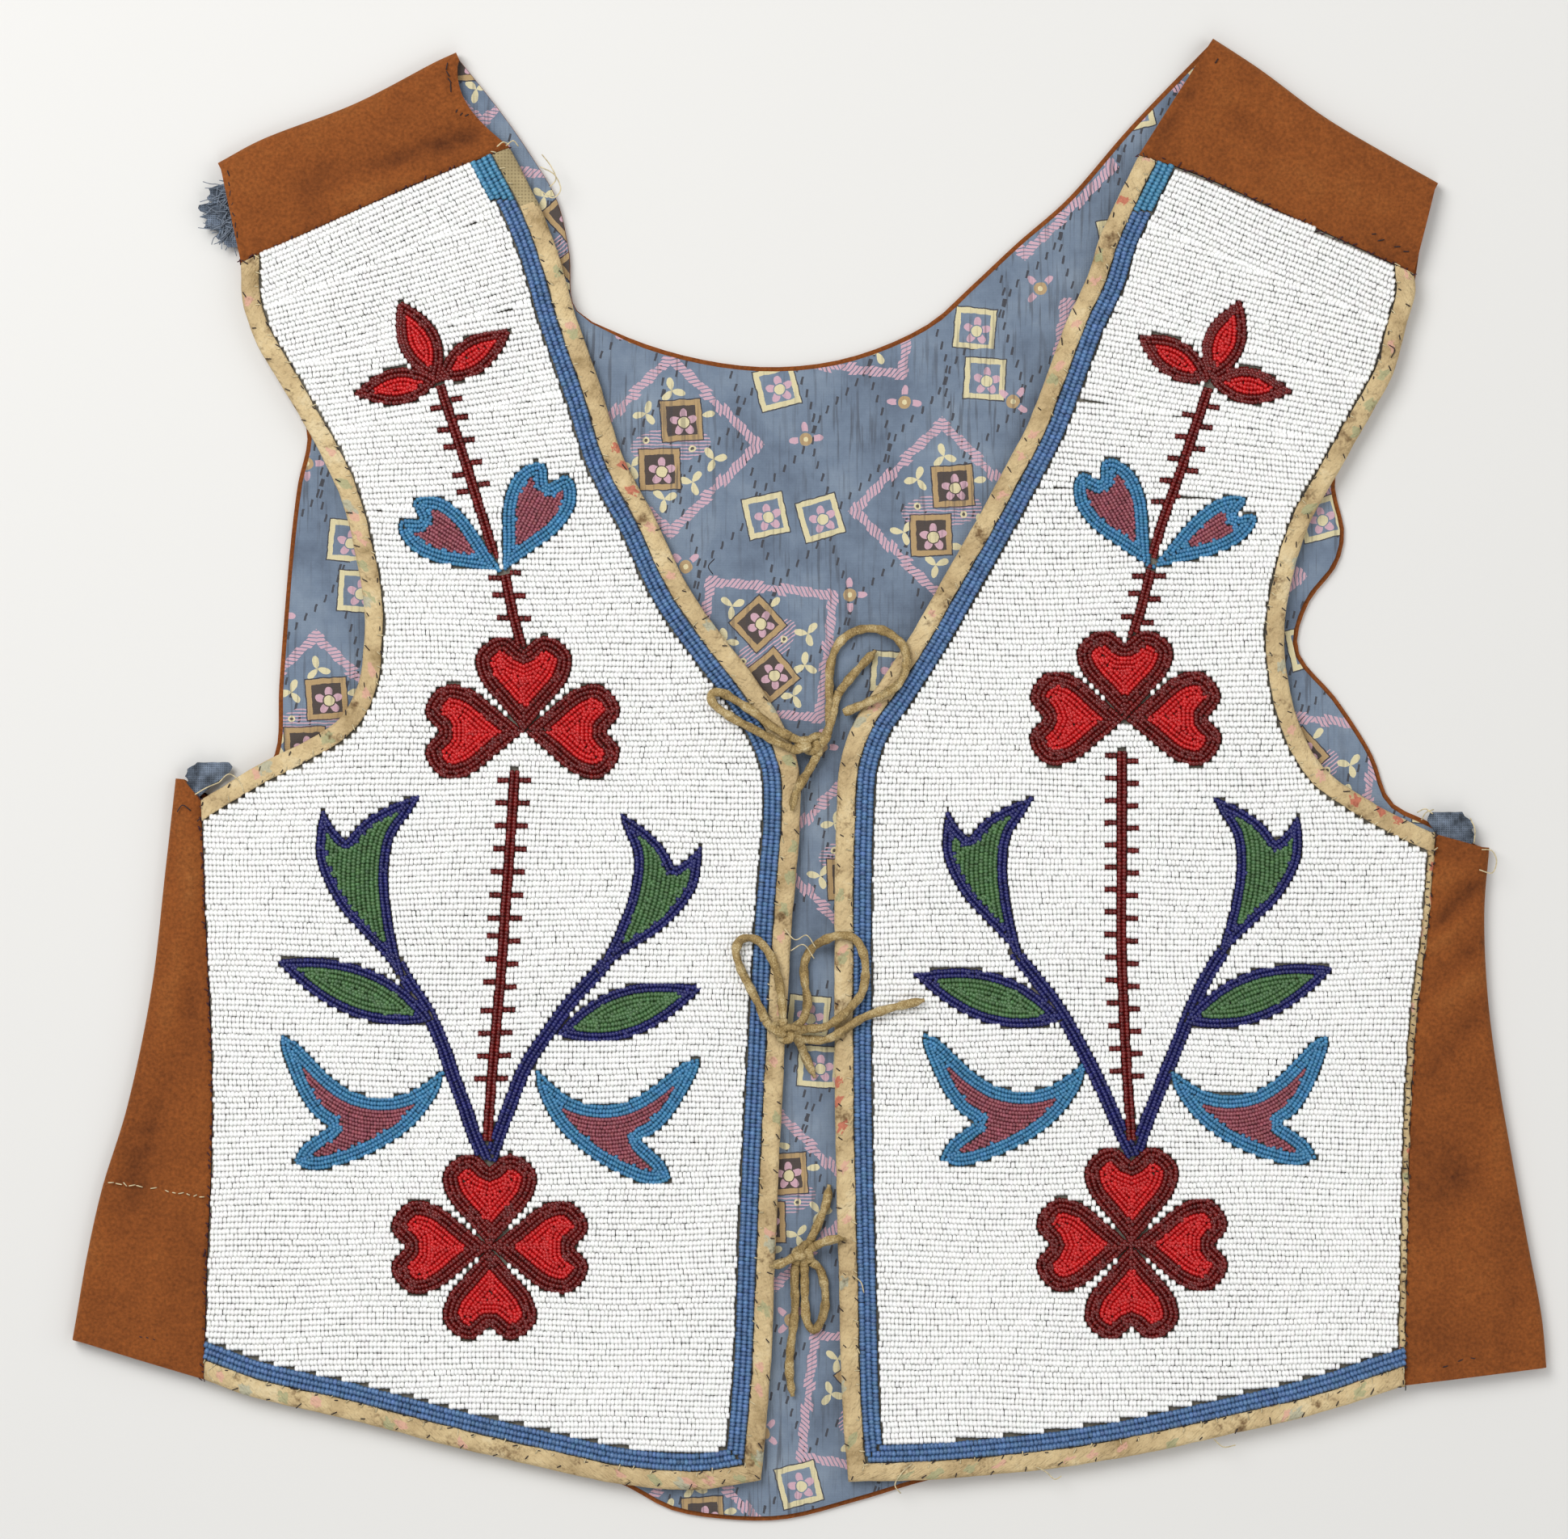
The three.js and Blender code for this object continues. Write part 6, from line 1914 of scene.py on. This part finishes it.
def makeStitches(name, rows, material, slot):
    x, y, z, turns, lengths = np.vstack(rows).T
    thick = np.full(len(x), sewing["thick"])
    places = placesOf(x, y, z + sewing["lift"], turns, np.stack([lengths, thick, thick], 1))
    place(joined(name, stitchShape(), places, material), slot)
    print(name, len(x), "stitches")


def makeThreads(name, lines, thick, material, slot):
    bm = bmesh.new()
    for line in lines:
        addTube(bm, smoothLine(line, 0.8), thick / 2, 5)
    place(toPiece(bm, name, material), slot)


def bindingTop(side, name, depth):
    loop = dict(zip(edgeNames, frontLoop(side, depth, depth)))
    return toFrame(side, loop[name])


def makeSewing(dark, maroon, cream, edging):
    for side in fronts:
        loop = dict(zip(edgeNames, frontLoop(side, 0, 0, 0)))
        seam, shoulder = toFrame(side, loop["seam"]), toFrame(side, loop["shoulder"])
        top = layers["frontMiddle"] + layers["frontThick"] / 2 + 0.25
        rows = [stitchesAlong(shoulder, top, 2.6, 1.9, 55), stitchesAlong(shoulder, top, 4.1, 1.5, 0)]
        if side == "left":
            rows.append(stitchesAlong(seam, top, 2.2, 1.6, 40))
            rows.append(stitchesAlong(seam, top, 3.1, 1.5, 0))
        makeStitches(side + "SeamStitches", rows, maroon, "velvet")
        high = sewing["bindingTop"]
        darkRows, creamRows = [], []
        for name in ("neck", "hem", "armhole"):
            darkRows.append(stitchesAlong(bindingTop(side, name, 1.2), high - 0.15, 11, 2.0, 50))
            creamRows.append(stitchesAlong(bindingTop(side, name, 5.2), high - 0.1, 5.2, 1.7, 70))
            darkRows.append(stitchesAlong(bindingTop(side, name, 5.7), high - 0.3, 7.5, 1.5, 20))
        makeStitches(side + "BindingStitches", creamRows, cream, "calico")
        makeStitches(side + "DarkStitches", darkRows, dark, "calico")
    # the narrow edge of calico that shows beside the right front's beads, and the stitches that hold it
    narrow = sewing["narrowEdge"]
    seam = evenPlaces(toFrame("right", frontLoop("right", 0, 0, narrow["depth"])[2]), 110)
    wave = ripple(lengthsOn(seam), [(7, 0.14), (13, 0.2)], 4)
    bm = bmesh.new()
    path = np.column_stack([seam[:, 0] + wave, seam[:, 1], np.full(len(seam), narrow["height"])])
    addTube(bm, path, narrow["radius"], 8, narrow["flat"])
    place(toPiece(bm, "rightSeamEdge", edging), "calico")
    rows = [
        stitchesAlong(seam, narrow["height"] + 0.5, 2.6, 1.2, 80, 0.35),
        stitchesAlong(seam + [narrow["radius"], 0], narrow["height"] + 0.3, 3.4, 1.6, 10, 0.2),
    ]
    makeStitches("rightSeamStitches", rows, dark, "calico")
    marks = [stitchesAlong(smoothLine(onChart(line)), *row) for line, *row in velvetMarks]
    makeStitches("velvetMarks", marks, dark, "velvet")
    line, *row = piecedSeam
    makeStitches("piecedSeam", [stitchesAlong(onChart(line), *row)], cream, "velvet")
    makeThreads("creamLooseThreads", looseThreads["cream"], 0.42, cream, "calico")
    makeThreads("darkLooseThreads", looseThreads["dark"], 0.38, dark, "calico")


def makeFray(material):  # the frayed warp and weft of the torn lining
    rootX, rootY = frayedTuft["root"]
    lines = []
    for _ in range(frayedTuft["count"]):
        x = rootX + rng.uniform(-4, 0)
        y = rootY + rng.uniform(-1, 1) * frayedTuft["spread"]
        heading = math.pi + rng.normal(0.35, 0.55)
        path = [(x, y, rng.uniform(3.6, 4.6))]
        for _ in range(4):
            heading += rng.normal(0, 0.45)
            step = rng.uniform(*frayedTuft["reach"]) / 4
            x, y = x + step * math.cos(heading), y + step * math.sin(heading)
            path.append((x, y, rng.uniform(2.6, 5.2)))
        lines.append(path)
    makeThreads("frayedLining", lines, 0.3, material, "torn_lining")


# small bits of lining at the underarms and the left shoulder

# rows from the top down: (up, from, to), from and to counted out from the middle
liningBits = {
    "left_side_lining": {
        "side": -1, "slot": "lining",
        "rows": [
            (5.5, 187, 197), (4, 185.8, 200.5), (1, 188, 201), (-2, 192.6, 201), (-6, 197, 201),
            (-12, 197.5, 201),
        ],
    },
    "right_side_lining": {
        "side": 1, "slot": "lining",
        "rows": [
            (-10.5, 200, 210), (-13, 199, 213.5), (-16, 201, 214.3), (-20, 203, 214.3), (-26, 203.5, 214)
        ],
    },
    "torn_lining": {
        "side": -1, "slot": "torn_lining", "ragged": [(1.9, 0.9), (3.1, 1.3), (5.3, 1.2)],
        "rows": [
            (193, 183.5, 190), (188, 182, 194), (182, 180.5, 196.5), (176, 180, 192), (171.5, 180.5, 187)
        ],
    },
}


bitHeight = 3.3
bitCrumples = [(1.1, 0.7, 0.55), (0.5, -1.3, 0.35)]  # (turn across, turn up, height)


def makeLiningBit(name, material):
    bit = liningBits[name]
    rows = np.array(bit["rows"], float)
    up = np.linspace(rows[0, 0], rows[-1, 0], 25)
    first = np.interp(-up, -rows[:, 0], rows[:, 1])
    last = np.interp(-up, -rows[:, 0], rows[:, 2])
    ragged = ripple(up, bit.get("ragged", [(2.3, 0.35), (4.1, 0.4)]), 5)
    share = np.linspace(0, 1, 17)[None]
    out = (first[:, None] * (1 - share) + (last + ragged - 0.4)[:, None] * share) * bit["side"]
    grid = np.stack([out, np.broadcast_to(up[:, None], out.shape)], 2)
    height = bitHeight + sum(high * np.sin(out * a + up[:, None] * b) for a, b, high in bitCrumples)
    bm = bmesh.new()
    addGrid(bm, lifted(grid, height))
    head, *others = name.split("_")
    piece = toPiece(bm, head + "".join(word.title() for word in others), material)
    thicken(piece, 0.7, 0.2)
    place(piece, bit["slot"], name)
    return piece


# making

velvet = cottonVelvet()
bluePrint = bluePrintedCotton()
calico = printedCalico()
# the backing is grey-beige, darker than the cream cloth it stands for: painted shade for the gaps between the
# beads, where it shows
backing = plainCotton("backingCotton", "#6B675E", "#8C877B")
canvas = plainCotton("coarseCanvas", "#6F6145", "#B3A27A", 1.1)
# a darker copy of the lining cloth for its small bits: painted shade where they lie in the shade at the
# underarms and shoulder, with 5 mm blotches of painted crease shade; the torn bit is also worn
wornLining = plainCotton("wornLining", "#1E2227", "#7F8C9E", 0.7, 5)
glass = seedBeadGlass()

makeVelvet(velvet)
makeLining(bluePrint)
print("back made")
for side in fronts:
    makeBacking(side, backing)
    makeBinding(side, "Edge", ["hem", "neck"], 3 if side == "left" else 9, calico, canvas)
    makeBinding(side, "Armhole", ["armhole"], 5 if side == "left" else 12, calico, canvas)
for name in liningBits:
    makeLiningBit(name, wornLining)
print("fronts and bindings made")
for side in fronts:
    makeBeadwork(side, glass)
print("beadwork made")

dark, maroon = cottonThread("darkThread", "#2B2226"), cottonThread("maroonThread", "#45202B")
cream = cottonThread("creamThread", "#D8C8A0")
makeSewing(dark, maroon, cream, calico)
makeFray(cottonThread("blueLiningThread", "#7D8795"))
print("sewing made")

floorMesh = bmesh.new()
bmesh.ops.create_grid(floorMesh, x_segments=1, y_segments=1, size=4)
floor = toPiece(floorMesh, "floor", palePaper(), False)
print("floor made")
